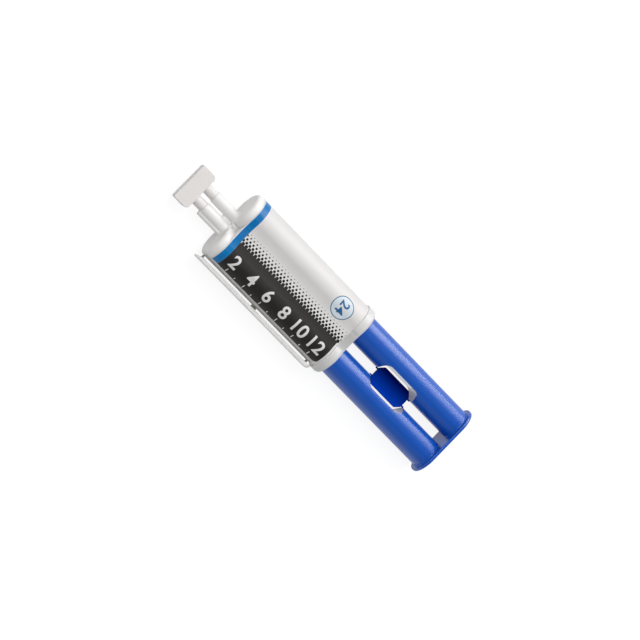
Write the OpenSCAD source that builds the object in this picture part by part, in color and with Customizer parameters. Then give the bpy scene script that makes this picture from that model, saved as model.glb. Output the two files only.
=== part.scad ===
// Twin-barrel epoxy syringe, drawn extended as it is sold.
// It lies on its back: +X runs from the thumb flange to the nozzle, +Z is the label's front.

/* [Barrels] */
// Distance between the axes of the two barrels
barrel_pitch = 19; // [18.4:0.2:22]
// Bore of each barrel
barrel_bore_d = 15.4; // [15.1:0.1:15.8]
// Wall of each barrel
barrel_wall = 1.15; // [0.9:0.05:1.5]
// Length of the barrels, from the collar's rear face to the end plate's face
barrel_len = 78.1; // [75.5:0.1:110]
// Thickness of the plate that closes the nozzle end
end_plate_t = 1.6; // [1:0.1:3]
// Rounding round the rim of the end plate
shoulder_r = 1.5; // [0.5:0.1:2]
// Thickness of the web that joins the barrels
web_t = 4.4; // [2:0.2:8]
// How far the web stops short of the end plate's face
web_setback = 0.4; // [0.2:0.1:2]
// Diameter of the moulding gate's stub at the end of the web
gate_d = 1.6; // [0.8:0.1:2]
// How far the gate's stub is behind the web's end
gate_setback = 0.5; // [0:0.1:2]

/* [Finger collar] */
// How far the collar stands out from the barrels
collar_flare = 0.85; // [0.4:0.05:1.5]
// Length of the collar
collar_len = 4.7; // [3:0.1:6]
// Rounding round the collar's rear edge
collar_edge_r = 1.6; // [0.3:0.1:1.8]
// Depth of the dip in the collar between the barrels
collar_dip = 1.1; // [0.6:0.1:2]

/* [Outlets] */
// Distance between the axes of the two outlet tubes
outlet_pitch = 6.9; // [6.2:0.1:8]
// Outer diameter of each outlet tube
outlet_d = 5.8; // [5.2:0.1:6.1]
// Bore of each outlet tube
outlet_bore_d = 4.2; // [3.4:0.1:4.6]
// Height of the outlet tubes above the end plate
outlet_len = 13.9; // [10:0.1:18]
// How far the bore reaches past the plate into the barrel's edge
feed_relief = 0.3; // [0.1:0.1:1]
// Height of the dividing wall between the tubes
divider_h = 4.8; // [2:0.2:10]
// Thickness of the dividing wall
divider_t = 1.6; // [1:0.1:3]
// How far the key rib stands out from the resin outlet
key_out = 1.4; // [0.6:0.1:2]
// Width of the key rib
key_w = 2.6; // [1.6:0.1:4]

/* [Label] */
// Thickness of the label
label_t = 0.15; // [0.1:0.01:0.3]
// Gap left for the adhesive under the label
label_play = 0.02; // [0.01:0.01:0.05]
// Gap between the collar and the label's rear edge
label_gap = 0.4; // [0.3:0.1:4]
// Length of the label along the barrels
label_len = 69.4; // [40:0.1:70]
// Depth of the dip where the label bridges the barrels
label_dip = 1.2; // [0.6:0.1:2]
// Angle from the front of the resin barrel to the label's free edge, in degrees
label_edge_a = 60; // [40:1:75]
// Rounding of the label's corners, seen from the front
label_corner_r = 1; // [0.4:0.1:2]

/* [Nozzle cap] */
// Width of the cap's finger grip
grip_w = 19.5; // [14:0.1:26]
// Height of the finger grip along the syringe
grip_h = 8.4; // [5:0.1:12]
// Thickness of the finger grip
grip_t = 4.6; // [3:0.1:5]
// Rounding of the grip's corners on the syringe's side
grip_near_r = 2; // [0.8:0.1:3]
// Rounding of the grip's corners on the far side
grip_far_r = 0.8; // [0.4:0.1:2]
// Diameter of the prongs
prong_d = 5; // [4.8:0.1:5.6]
// Length of the prongs between the outlets and the grip
prong_len = 5.2; // [2:0.1:10]
// How far the prongs run up the grip
prong_rise = 3; // [1:0.1:4.5]
// Gap between a prong's shoulder and the outlet's rim
seat_play = 0.05; // [0.02:0.01:0.2]
// Length of the plug that fills each outlet
plug_len = 7; // [3:0.1:9]
// Radial play of a plug in its outlet
plug_play = 0.05; // [0.02:0.01:0.1]
// Rounding of the plugs' tips
plug_tip_r = 0.6; // [0.3:0.1:1.2]

/* [Plunger] */
// Diameter of the plunger's rods
rod_d = 14.7; // [14:0.1:14.9]
// Wall of the hollow rods
rod_wall = 1.3; // [0.9:0.05:2]
// Length of rod that shows between the thumb flange and the collar
rod_exposed = 65; // [64.9:0.1:90]
// Diameter of the thumb flange round each rod
flange_d = 18.5; // [16:0.1:19.3]
// Thickness of the thumb flange
flange_t = 1.5; // [1.2:0.1:3]
// Rounding of the thumb flange's rims
flange_edge_r = 0.4; // [0.2:0.1:0.5]

/* [Plunger window] */
// Width of the window across the rods
window_w = 13.3; // [12:0.1:15]
// Length of the window along the rods
window_len = 23; // [22.4:0.2:30]
// Rounding of the window's corners
window_r = 4.2; // [1.5:0.1:4.6]
// Wall round the window inside the rods
window_wall = 1.2; // [0.8:0.1:2]
// Distance from the thumb flange's rear face to the window's middle
window_s = 36.7; // [20:0.1:45]

/* [Pistons] */
// Length of each piston
piston_len = 6; // [4:0.1:7]
// How far a piston's rear face sits inside the collar's rear face
piston_inset = 5.5; // [3:0.1:6.5]
// Radial play of a piston's sealing lips in the bore
piston_play = 0.06; // [0.02:0.01:0.1]
// Length of each sealing lip
lip_len = 1.4; // [0.8:0.1:1.9]
// Depth of the groove between the lips
lip_depth = 0.7; // [0.3:0.1:1.5]
// Length of the stub that plugs into the rod
stub_len = 3; // [1.5:0.1:6]
// Radial play of the stub in the rod
stub_play = 0.05; // [0.02:0.01:0.1]
// Gap left round each column of adhesive
fill_play = 0.05; // [0.02:0.01:0.1]

/* [Reseal stopper] */
// Width of the stopper's plate
stopper_w = 10.2; // [9:0.1:11]
// Length of the stopper's plate
stopper_len = 20.4; // [16:0.1:22]
// Thickness of the stopper's plate
stopper_t = 1.6; // [1:0.1:2.4]
// Size of the plate's cut corners
stopper_corner = 2.3; // [1:0.1:2.4]
// Length of the stopper's two pins
pin_len = 4.5; // [2:0.1:5]
// Width of the break-off nibs
nib_w = 0.8; // [0.4:0.1:1.2]
// Thickness of the break-off nibs
nib_t = 0.8; // [0.4:0.1:1]
// Gap left at the end of a nib, where it has been cut
nib_play = 0.05; // [0.02:0.01:0.1]

/* [Mixing spatula] */
// Length of the spatula
spatula_len = 74; // [50:0.2:74.4]
// Depth of the spatula's blade
spatula_depth = 7.6; // [5:0.1:12]
// Thickness of the blade
spatula_t = 1.7; // [1:0.05:2.5]
// Gap between the barrel and the blade
spatula_gap = 1.2; // [0.8:0.05:2.5]
// Gap between the collar's front face and the blade's rear end
spatula_clear = 0.3; // [0.2:0.1:3]
// Length of the bevel at the blade's mixing end
bevel_len = 2.8; // [1:0.1:6]
// Thickness left at the blade's mixing edge
bevel_t = 0.6; // [0.3:0.1:1]
// Slant of the blade's rear end
slant_len = 0.9; // [0.3:0.1:2]
// Rounding of the blade's corners, seen from the side
blade_corner_r = 1.8; // [0.8:0.1:2.5]
// Length of the tab at each end of the blade
end_tab_len = 0.9; // [0.5:0.1:2]
// Length of the tab in the middle
mid_tab_len = 2.9; // [1:0.1:6]
// Thickness of the tabs
tab_t = 1.2; // [0.6:0.1:2]

/* [Hidden] */

$fn = 96;

// Overrun of a cut past the face that it opens
cut = 1;
// How far the waist's block stays under the line where its curve meets a barrel's
waist_seam = 0.2;
// Distance of each end tab from the blade's end, as a share of the blade's length
front_tab_share = 0.032;
rear_tab_share = 0.03;
// Place of the middle tab along the blade, from its rear end
mid_tab_share = 0.493;
// How far the collar's bridge is set back, as a share of the rounding of the rims
bridge_share = 0.25;
// Height of the gate's middle over the web, as a share of its diameter
gate_rise_share = 0.35;

// Radii and half sizes
half_pitch = barrel_pitch / 2;
bore_r = barrel_bore_d / 2;
barrel_r = bore_r + barrel_wall;
collar_r = barrel_r + collar_flare;
label_in_r = barrel_r + label_play;
label_r = label_in_r + label_t;
outlet_y = outlet_pitch / 2;
outlet_r = outlet_d / 2;
outlet_bore_r = outlet_bore_d / 2;
plug_r = outlet_bore_r - plug_play;
rod_r = rod_d / 2;
rod_bore_r = rod_r - rod_wall;
flange_r = flange_d / 2;

// Places along the syringe, counted from the thumb flange's rear face
collar_s = flange_t + rod_exposed;
collar_front_s = collar_s + collar_len;
plate_s = collar_s + barrel_len;
bore_end_s = plate_s - end_plate_t;
rim_s = plate_s + outlet_len;
grip_s = rim_s + prong_len;
total_len = grip_s + grip_h;
piston_s = collar_s + piston_inset;
piston_front_s = piston_s + piston_len;
label_s = collar_front_s + label_gap;
spatula_s = collar_front_s + spatula_clear;

// Places across the syringe
side_y = half_pitch + max(collar_r, flange_r);
spatula_y = half_pitch + barrel_r + spatula_gap;
mid_y = (spatula_y + spatula_t - side_y) / 2;
axis_z = max(collar_r, flange_r);

// Moves a child from the syringe's own lines to the part's frame
module in_frame() {
    translate([-total_len / 2, -mid_y, axis_z]) children();
}

// Draws a child at both barrels
module each_barrel() {
    for (side = [-1, 1]) translate([0, side * half_pitch, 0]) children();
}

// Draws a child at both outlets
module each_outlet() {
    for (side = [-1, 1]) translate([0, side * outlet_y, 0]) children();
}

// A round post along the syringe, from s
module post(s, r, len) {
    translate([s, 0, 0]) rotate([0, 90, 0]) cylinder(r = r, h = len);
}

// An outline of radius against length, turned about the syringe's direction from s
module turned(s) {
    translate([s, 0, 0]) rotate([0, 90, 0]) rotate_extrude() children();
}

// An outline of Y against Z, drawn out along the syringe from s
module drawn_out(s, len) {
    translate([s, 0, 0]) rotate([90, 0, 90]) linear_extrude(height = len) children();
}

// An outline of a post with its far rim rounded
module rim_outline(r, len, round_r) {
    square([r, len - round_r]);
    square([r - round_r, len]);
    translate([r - round_r, len - round_r]) intersection() {
        circle(round_r);
        square([round_r, round_r]);
    }
}

// An outline of a post with its near rim rounded
module near_rim_outline(r, len, round_r) {
    translate([0, len]) mirror([0, 1]) rim_outline(r, len, round_r);
}

// A rectangle with rounded corners, about its middle
module rounded_plate(size, r) {
    square([size[0] - 2 * r, size[1]], center = true);
    square([size[0], size[1] - 2 * r], center = true);
    for (x = [-1, 1], y = [-1, 1])
        translate([x * (size[0] / 2 - r), y * (size[1] / 2 - r)]) circle(r);
}

// Radius of the curve that dips between two circles of radius r and touches both
function waist_r(r, dip) = (pow(r - dip, 2) + pow(half_pitch, 2) - pow(r, 2)) / (2 * dip);

// The block between the barrels, hollowed on both faces by that curve
module waist(r, dip) {
    big = waist_r(r, dip);
    centre_z = r - dip + big;
    touch_share = r / (r + big);
    difference() {
        square([2 * half_pitch * (1 - touch_share), 2 * (centre_z * touch_share - waist_seam)], center = true);
        for (side = [-1, 1]) translate([0, side * centre_z]) circle(big, $fn = 4 * $fn);
    }
}

// The outline of both barrels and the waist between them
module twin_outline(r, dip) {
    for (side = [-1, 1]) translate([side * half_pitch, 0]) circle(r);
    waist(r, dip);
}

module barrel_walls() {
    each_barrel() turned(collar_s) rim_outline(barrel_r, barrel_len, shoulder_r);
    translate([collar_s, -half_pitch, -web_t / 2]) cube([barrel_len - web_setback, barrel_pitch, web_t]);
    translate([plate_s - web_setback - gate_setback - gate_d / 2, 0, web_t / 2 + gate_d * gate_rise_share])
        sphere(d = gate_d);
}

module finger_collar() {
    // The bridge is set back to where the rounded rims have dropped to its own radius
    set_back = collar_edge_r * bridge_share;
    bridge_r = collar_r - collar_edge_r + sqrt(pow(collar_edge_r, 2) - pow(collar_edge_r - set_back, 2));
    each_barrel() turned(collar_s) near_rim_outline(collar_r, collar_len, collar_edge_r);
    drawn_out(collar_s + set_back, collar_len - set_back) waist(bridge_r, collar_dip);
}

module outlet_tubes() {
    tube_len = end_plate_t + outlet_len;
    key_y = outlet_y + outlet_r + key_out - key_w / 2;
    each_outlet() post(bore_end_s, outlet_r, tube_len);
    translate([bore_end_s, -outlet_y, -divider_t / 2]) cube([end_plate_t + divider_h, outlet_pitch, divider_t]);
    translate([0, key_y, 0]) post(bore_end_s, key_w / 2, tube_len);
    translate([bore_end_s, outlet_y, -key_w / 2]) cube([tube_len, key_y - outlet_y, key_w]);
}

module twin_barrel() {
    feed_s = bore_end_s - feed_relief;
    color([0.90, 0.91, 0.91]) in_frame() difference() {
        union() {
            barrel_walls();
            finger_collar();
            outlet_tubes();
        }
        each_barrel() post(collar_s - cut, bore_r, bore_end_s - collar_s + cut);
        each_outlet() post(feed_s, outlet_bore_r, rim_s - feed_s + cut);
    }
}

// Takes a corner off the label, rounded with the corner radius, seen from the front
module label_corner() {
    difference() {
        translate([-cut, 0]) square([label_corner_r + cut, label_corner_r + cut]);
        translate([label_corner_r, 0]) circle(label_corner_r);
    }
}

module label() {
    edge_y = half_pitch + label_r * sin(label_edge_a);
    tall = label_r + cut;
    color([0.86, 0.87, 0.89]) in_frame() difference() {
        drawn_out(label_s, label_len) difference() {
            twin_outline(label_r, label_dip);
            twin_outline(label_in_r, label_dip);
        }
        translate([label_s - cut, edge_y, -tall]) cube([label_len + 2 * cut, label_r, 2 * tall]);
        translate([label_s, edge_y - label_corner_r, -tall]) linear_extrude(height = 2 * tall) label_corner();
        translate([label_s + label_len, edge_y - label_corner_r, -tall])
            linear_extrude(height = 2 * tall) mirror([1, 0]) label_corner();
    }
}

// The finger grip seen from the front, with the syringe's side at zero
module grip_outline() {
    for (side = [-1, 1]) {
        translate([grip_near_r, side * (grip_w / 2 - grip_near_r)]) circle(grip_near_r);
        translate([grip_h - grip_far_r, side * (grip_w / 2 - grip_far_r)]) circle(grip_far_r);
    }
    translate([0, grip_near_r - grip_w / 2]) square([grip_h, grip_w - 2 * grip_near_r]);
    translate([grip_near_r, -grip_w / 2]) square([grip_h - grip_near_r - grip_far_r, grip_w]);
    translate([grip_near_r, grip_far_r - grip_w / 2]) square([grip_h - grip_near_r, grip_w - 2 * grip_far_r]);
}

module nozzle_cap() {
    prong_s = rim_s + seat_play;
    color([0.93, 0.93, 0.92]) in_frame() {
        translate([grip_s, 0, -grip_t / 2]) linear_extrude(height = grip_t) grip_outline();
        each_outlet() {
            turned(prong_s) rim_outline(prong_d / 2, grip_s - prong_s + prong_rise, plug_tip_r);
            turned(rim_s - plug_len) near_rim_outline(plug_r, plug_len + prong_len, plug_tip_r);
        }
    }
}

// The thumb flange: one round end turned about each rod, and the stretch between them
module thumb_flange() {
    for (side = [0, 1])
        mirror([0, side, 0]) translate([0, half_pitch, 0]) rotate([0, 90, 0])
            rotate_extrude(angle = 180) flange_section();
    translate([0, half_pitch, 0]) rotate([90, 0, 0]) linear_extrude(height = barrel_pitch)
        rounded_bar_section();
}

module flange_section() {
    translate([0, flange_edge_r]) square([flange_r, flange_t - 2 * flange_edge_r]);
    square([flange_r - flange_edge_r, flange_t]);
    for (s = [flange_edge_r, flange_t - flange_edge_r])
        translate([flange_r - flange_edge_r, s]) circle(flange_edge_r);
}

module rounded_bar_section() {
    translate([flange_t / 2, 0]) rounded_plate([flange_t, flange_d], flange_edge_r);
}

// The window's outline grown by a margin, seen from the front
module window_outline(margin) {
    translate([window_s, 0]) rounded_plate([window_len + 2 * margin, window_w + 2 * margin], window_r + margin);
}

module plunger() {
    tall = rod_r + cut;
    color([0.02, 0.27, 0.66]) in_frame() difference() {
        union() {
            thumb_flange();
            each_barrel() difference() {
                post(flange_t / 2, rod_r, piston_s - flange_t / 2);
                post(flange_t, rod_bore_r, piston_s - flange_t + cut);
            }
            intersection() {
                each_barrel() post(flange_t, rod_bore_r + rod_wall / 2, piston_s - flange_t - stub_len);
                translate([0, 0, -tall]) linear_extrude(height = 2 * tall) window_outline(window_wall);
            }
        }
        translate([0, 0, -tall]) linear_extrude(height = 2 * tall) window_outline(0);
    }
}

// One piston with two sealing lips and the stub that plugs into the rod
module piston(side) {
    lip_r = bore_r - piston_play;
    color([0.12, 0.13, 0.16]) in_frame() translate([0, side * half_pitch, 0]) {
        turned(piston_s) {
            square([lip_r - lip_depth, piston_len]);
            square([lip_r, lip_len]);
            translate([0, piston_len - lip_len]) square([lip_r, lip_len]);
        }
        post(piston_s - stub_len, rod_bore_r - stub_play, stub_len + lip_len);
    }
}

module resin_piston() piston(1);
module hardener_piston() piston(-1);

// One column of adhesive between a piston and the end plate
module charge(side, tint) {
    start = piston_front_s + fill_play;
    color(tint) in_frame() translate([0, side * half_pitch, 0])
        post(start, bore_r - fill_play, bore_end_s - fill_play - start);
}

module resin_charge() charge(1, [0.93, 0.90, 0.78]);
module hardener_charge() charge(-1, [0.90, 0.78, 0.50]);

// The stopper's plate seen from the front
module stopper_outline() {
    a = stopper_len / 2;
    b = stopper_w / 2;
    c = stopper_corner;
    polygon([[a - c, b], [a, b - c], [a, c - b], [a - c, -b], [c - a, -b], [-a, c - b], [-a, b - c], [c - a, b]]);
}

module reseal_stopper() {
    reach = window_len / 2 - nib_play;
    // The nibs end on the flat part of the window's ends
    nib_y = min(stopper_w / 2 - stopper_corner, window_w / 2 - window_r) - nib_w / 2;
    color([0.02, 0.13, 0.42]) in_frame() translate([window_s, 0, 0]) {
        translate([0, 0, -stopper_t / 2]) linear_extrude(height = stopper_t) stopper_outline();
        for (side = [-1, 1]) {
            translate([side * outlet_y, 0, -stopper_t / 2]) rotate([180, 0, 0]) rotate_extrude()
                rim_outline(plug_r, pin_len, plug_tip_r);
            translate([-reach, side * nib_y - nib_w / 2, -nib_t / 2]) cube([2 * reach, nib_w, nib_t]);
        }
    }
}

// The blade seen from the front: bevelled at the mixing end, slanted at the rear
module blade_front_outline() {
    polygon([
        [0, 0], [spatula_len - bevel_len, 0], [spatula_len, spatula_t - bevel_t], [spatula_len, spatula_t],
        [slant_len, spatula_t],
    ]);
}

module mixing_spatula() {
    tab_reach = spatula_gap - nib_play;
    tabs = [
        [spatula_len * rear_tab_share, end_tab_len],
        [spatula_len * mid_tab_share, mid_tab_len],
        [spatula_len * (1 - front_tab_share) - end_tab_len, end_tab_len],
    ];
    color([0.93, 0.93, 0.92]) in_frame() translate([spatula_s, spatula_y, 0]) {
        intersection() {
            translate([0, 0, -spatula_depth / 2]) linear_extrude(height = spatula_depth) blade_front_outline();
            translate([spatula_len / 2, spatula_t + cut, 0]) rotate([90, 0, 0])
                linear_extrude(height = spatula_t + 2 * cut)
                rounded_plate([spatula_len, spatula_depth], blade_corner_r);
        }
        for (tab = tabs)
            translate([tab[0], -tab_reach, -tab_t / 2]) cube([tab[1], tab_reach + spatula_t / 2, tab_t]);
    }
}

twin_barrel();
label();
nozzle_cap();
plunger();
resin_piston();
hardener_piston();
resin_charge();
hardener_charge();
reseal_stopper();
mixing_spatula();
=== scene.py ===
"""Looks of a twin-barrel epoxy syringe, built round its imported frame."""

import logging
import math
from contextlib import contextmanager
from dataclasses import dataclass, field
from enum import Enum, IntEnum
from typing import Callable, ClassVar, Iterator, NamedTuple, Sequence

import bmesh
import bpy
from mathutils import Matrix, Vector


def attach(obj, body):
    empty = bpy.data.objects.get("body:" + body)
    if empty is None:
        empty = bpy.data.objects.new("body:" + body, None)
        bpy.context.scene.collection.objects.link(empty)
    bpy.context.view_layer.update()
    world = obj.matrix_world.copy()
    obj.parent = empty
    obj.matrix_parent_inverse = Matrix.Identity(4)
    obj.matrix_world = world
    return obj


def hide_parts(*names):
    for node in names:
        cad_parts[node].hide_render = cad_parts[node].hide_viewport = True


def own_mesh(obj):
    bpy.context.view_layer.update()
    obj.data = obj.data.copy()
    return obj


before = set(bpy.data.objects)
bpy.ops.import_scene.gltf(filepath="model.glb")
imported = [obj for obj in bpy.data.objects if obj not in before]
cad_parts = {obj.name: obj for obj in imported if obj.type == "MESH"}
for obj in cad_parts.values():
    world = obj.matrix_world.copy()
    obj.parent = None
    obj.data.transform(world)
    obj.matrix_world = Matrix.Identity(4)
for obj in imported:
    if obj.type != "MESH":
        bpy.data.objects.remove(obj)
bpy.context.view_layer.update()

log = logging.getLogger("syringe")

MM = 0.001
CLOSE = 0.1 * MM

Station = tuple[float, float]
Colour = tuple[float, float, float]


@dataclass(frozen=True)
class Sizes:
    """The syringe's own sizes in millimetres, as its solids have them."""

    pitch: float = 19.0
    bore_r: float = 7.7
    barrel_r: float = 8.85
    collar_r: float = 9.7
    rod_r: float = 7.35
    flange_r: float = 9.25
    flange_t: float = 1.5
    piston_s: float = 72.0
    collar_s: float = 66.5
    collar_len: float = 4.7
    bore_end_s: float = 143.0
    plate_s: float = 144.6
    rim_s: float = 158.5
    grip_s: float = 163.7
    total_s: float = 172.1
    outlet_y: float = 3.45
    outlet_r: float = 2.9
    outlet_bore_r: float = 2.1
    label_s: float = 71.6
    label_len: float = 69.4
    label_r: float = 9.02
    label_t: float = 0.15
    label_dip: float = 1.2
    label_edge_deg: float = 60.0
    window_s: float = 36.7
    window_len: float = 23.0
    window_w: float = 13.3
    window_r: float = 4.2
    spatula_s: float = 71.5
    spatula_y: float = 19.55
    mid_s: float = 86.05
    mid_y: float = 1.025
    axis_z: float = 9.7

    @property
    def half_pitch(self) -> float:
        """Distance from the middle plane to each barrel's axis."""
        return self.pitch / 2

    @property
    def collar_end_s(self) -> float:
        """Place of the finger collar's front face."""
        return self.collar_s + self.collar_len


SIZE = Sizes()


def at(s: float, y: float = 0.0, z: float = 0.0) -> Vector:
    """Turns a place on the syringe's own lines into the frame's metres.

    Args:
        s: Millimetres along the syringe from the thumb flange's rear face.
        y: Millimetres from the middle plane, towards the spatula.
        z: Millimetres above the barrels' axes.

    Returns:
        The point in the row frame.
    """
    return Vector(((s - SIZE.mid_s) * MM, (y - SIZE.mid_y) * MM, (z + SIZE.axis_z) * MM))


def upright(a: Vector, b: Vector) -> bool:
    """Whether an edge between two points stands along Z."""
    return abs(a.z - b.z) > CLOSE


def stand(
    data: bpy.types.ID, axes: tuple[Vector, Vector, Vector], aim: Vector, distance: float
) -> bpy.types.Object:
    """Stands a camera or a light off a point and faces it there.

    Args:
        data: The camera or the light.
        axes: Its right, its up and its back.
        aim: The point that it faces.
        distance: Metres from that point.

    Returns:
        The new object.
    """
    thing = bpy.data.objects.new(data.name, data)
    bpy.context.scene.collection.objects.link(thing)
    turned = Matrix(axes).transposed().to_4x4()
    thing.matrix_world = Matrix.Translation(aim + axes[2] * distance) @ turned
    return thing


class Axis(Enum):
    """The direction that a post is turned about."""

    ALONG = (1.0, 0.0, 0.0)
    DOWN = (0.0, 0.0, -1.0)

    @property
    def way(self) -> Vector:
        """The direction as a vector."""
        return Vector(self.value)

    @property
    def disc_turn(self) -> tuple[float, float, float]:
        """Rotation that sets a flat disc square to the direction."""
        return (0.0, math.pi / 2, 0.0) if self is Axis.ALONG else (0.0, 0.0, 0.0)

    def across(self, share: float) -> tuple[float, float, float]:
        """Scale that widens a ring without moving it along."""
        return (1.0, share, share) if self is Axis.ALONG else (share, share, 1.0)


class Side(Enum):
    """The two barrels, by the way that they lie from the middle plane."""

    RESIN = 1
    HARDENER = -1

    @property
    def y(self) -> float:
        """Place of the barrel's axis."""
        return self.value * SIZE.half_pitch

    @property
    def outlet(self) -> Vector:
        """Where the outlet's axis meets the thumb flange's rear plane."""
        return at(0.0, self.value * SIZE.outlet_y)


class Sides(Enum):
    """Sides of a turned post's rings, by what is turned."""

    ROLL = 512
    BARREL = 128
    TUBE = 72
    PIN = 48


def far_rim(end: float, r: float, rounding: float, steps: int = 5) -> list[Station]:
    """Stations that round off the far rim of a post.

    Args:
        end: Place of the post's end.
        r: Radius of the post.
        rounding: Radius of the rounding.
        steps: Stations after the first.

    Returns:
        Place and radius pairs in order along the post.
    """
    turns = [math.pi / 2 * i / steps for i in range(steps + 1)]
    place, middle_r = end - rounding, r - rounding
    return [(place + rounding * math.sin(a), middle_r + rounding * math.cos(a)) for a in turns]


def near_rim(start: float, r: float, rounding: float, steps: int = 5) -> list[Station]:
    """Stations that round off the near rim of a post.

    Args:
        start: Place of the post's start.
        r: Radius of the post.
        rounding: Radius of the rounding.
        steps: Stations after the first.

    Returns:
        Place and radius pairs in order along the post.
    """
    return [(2 * start - s, radius) for s, radius in reversed(far_rim(start, r, rounding, steps))]


def foot_cove(start: float, r: float, cove: float, steps: int = 4) -> list[Station]:
    """Stations of a hollow fillet at the foot of a post.

    Args:
        start: Place of the face that the post stands on.
        r: Radius of the post above the fillet.
        cove: Radius of the fillet.
        steps: Stations after the first.

    Returns:
        Place and radius pairs in order along the post.
    """
    turns = [math.pi / 2 * i / steps for i in range(steps + 1)]
    return [(start + cove - cove * math.cos(a), r + cove - cove * math.sin(a)) for a in turns]


class Workbench:
    """Blender's modelling tools, used on one object at a time as by hand."""

    @staticmethod
    def lay_down() -> None:
        """Goes back to object mode with nothing selected."""
        if bpy.context.mode != "OBJECT":
            bpy.ops.object.mode_set(mode="OBJECT")
        bpy.ops.object.select_all(action="DESELECT")

    @classmethod
    def take_up(cls, piece: bpy.types.Object) -> None:
        """Makes one object the only one selected, and active.

        Args:
            piece: The object.
        """
        cls.lay_down()
        piece.select_set(True)
        bpy.context.view_layer.objects.active = piece

    @classmethod
    @contextmanager
    def editing(cls, piece: bpy.types.Object) -> Iterator[None]:
        """Opens a piece in edit mode with nothing picked, and closes it again.

        Args:
            piece: The piece.

        Yields:
            Nothing, once the piece is open.
        """
        cls.take_up(piece)
        bpy.ops.object.mode_set(mode="EDIT")
        bpy.ops.mesh.select_all(action="DESELECT")
        yield
        bpy.ops.object.mode_set(mode="OBJECT")

    @staticmethod
    def pick_edges(piece: bpy.types.Object, test: Callable[[Vector, Vector], bool]) -> None:
        """Selects the edges of a piece in edit mode by where their ends are.

        Args:
            piece: The piece.
            test: Says of an edge's two ends whether it is picked.
        """
        bpy.context.tool_settings.mesh_select_mode = (False, True, False)
        mesh = bmesh.from_edit_mesh(piece.data)
        for edge in mesh.edges:
            edge.select_set(test(edge.verts[0].co, edge.verts[1].co))
        bmesh.update_edit_mesh(piece.data)

    @staticmethod
    def pick_points(piece: bpy.types.Object, test: Callable[[Vector], bool]) -> None:
        """Selects the points of a piece in edit mode by where they are.

        Args:
            piece: The piece.
            test: Says of a point whether it is picked.
        """
        bpy.context.tool_settings.mesh_select_mode = (True, False, False)
        mesh = bmesh.from_edit_mesh(piece.data)
        for point in mesh.verts:
            point.select_set(test(point.co))
        mesh.select_flush_mode()
        bmesh.update_edit_mesh(piece.data)

    @staticmethod
    def keep_added(name: str) -> bpy.types.Object:
        """Names the primitive just added and puts its place in its mesh.

        Args:
            name: Its name.

        Returns:
            The new object.
        """
        piece = bpy.context.active_object
        piece.name = piece.data.name = name
        bpy.ops.object.transform_apply(location=True, rotation=True, scale=True)
        return piece

    @classmethod
    def block(cls, name: str, low: Vector, high: Vector) -> bpy.types.Object:
        """Adds a cube at its size and place, as a start.

        Args:
            name: Name of the new object.
            low: Its lowest corner.
            high: Its highest corner.

        Returns:
            The new object.
        """
        cls.lay_down()
        bpy.ops.mesh.primitive_cube_add(size=1.0, location=(low + high) / 2, scale=high - low)
        return cls.keep_added(name)

    @classmethod
    def turned(
        cls, name: str, axis: Axis, foot: Vector, stations: Sequence[Station], sides: Sides
    ) -> bpy.types.Object:
        """Draws a closed post out of one disc, ring by ring.

        Args:
            name: Name of the new object.
            axis: Direction of the post.
            foot: Point on the post's axis that the stations count from.
            stations: Millimetres along the axis, and radius there, in order.
            sides: Sides of each ring.

        Returns:
            The new object.
        """
        cls.lay_down()
        first, first_r = stations[0]
        bpy.ops.mesh.primitive_circle_add(
            vertices=sides.value,
            radius=first_r * MM,
            fill_type="NGON",
            location=foot + axis.way * first * MM,
            rotation=axis.disc_turn,
        )
        piece = cls.keep_added(name)
        with cls.editing(piece):
            bpy.ops.mesh.select_all(action="SELECT")
            for (place, r), (next_place, next_r) in zip(stations, stations[1:]):
                step = axis.way * (next_place - place) * MM
                bpy.ops.mesh.extrude_region_move(TRANSFORM_OT_translate={"value": step})
                centre = foot + axis.way * next_place * MM
                bpy.ops.transform.resize(value=axis.across(next_r / r), center_override=centre)
        cls.face_outwards(piece)
        return piece

    @classmethod
    def face_outwards(cls, piece: bpy.types.Object) -> None:
        """Turns every face of a closed piece outwards.

        Args:
            piece: The piece.
        """
        with cls.editing(piece):
            bpy.ops.mesh.select_all(action="SELECT")
            bpy.ops.mesh.normals_make_consistent(inside=False)

    @classmethod
    def bevel_picked(cls, width: float, segments: int) -> None:
        """Rounds the edges picked in edit mode by a width in millimetres."""
        bpy.ops.mesh.bevel(offset=width * MM, segments=segments, affect="EDGES", clamp_overlap=True)

    @classmethod
    def apply_newest(cls, piece: bpy.types.Object) -> None:
        """Applies the modifier that was added last."""
        bpy.ops.object.modifier_apply(modifier=piece.modifiers[-1].name)

    @classmethod
    def soften(
        cls, piece: bpy.types.Object, width: float, segments: int = 3, angle_deg: float = 40.0
    ) -> None:
        """Rounds all of a piece's sharp edges.

        Args:
            piece: The piece.
            width: Width of the rounding in millimetres.
            segments: Faces across the rounding.
            angle_deg: Edges sharper than this are rounded.
        """
        cls.take_up(piece)
        bpy.ops.object.modifier_add(type="BEVEL")
        rounding = piece.modifiers[-1]
        rounding.width = width * MM
        rounding.segments = segments
        rounding.limit_method = "ANGLE"
        rounding.angle_limit = math.radians(angle_deg)
        cls.apply_newest(piece)

    @classmethod
    def _combine(cls, piece: bpy.types.Object, tool: bpy.types.Object, operation: str) -> None:
        """Combines two closed pieces and takes the second away.

        Args:
            piece: The piece that stays.
            tool: The piece that is used up.
            operation: UNION or DIFFERENCE.
        """
        cls.take_up(piece)
        bpy.ops.object.modifier_add(type="BOOLEAN")
        joint = piece.modifiers[-1]
        joint.operation = operation
        joint.solver = "EXACT"
        joint.object = tool
        cls.apply_newest(piece)
        mesh = tool.data
        bpy.data.objects.remove(tool)
        bpy.data.meshes.remove(mesh)

    @classmethod
    def weld(cls, piece: bpy.types.Object, *tools: bpy.types.Object) -> None:
        """Joins closed pieces into one skin."""
        for tool in tools:
            cls._combine(piece, tool, "UNION")

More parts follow.
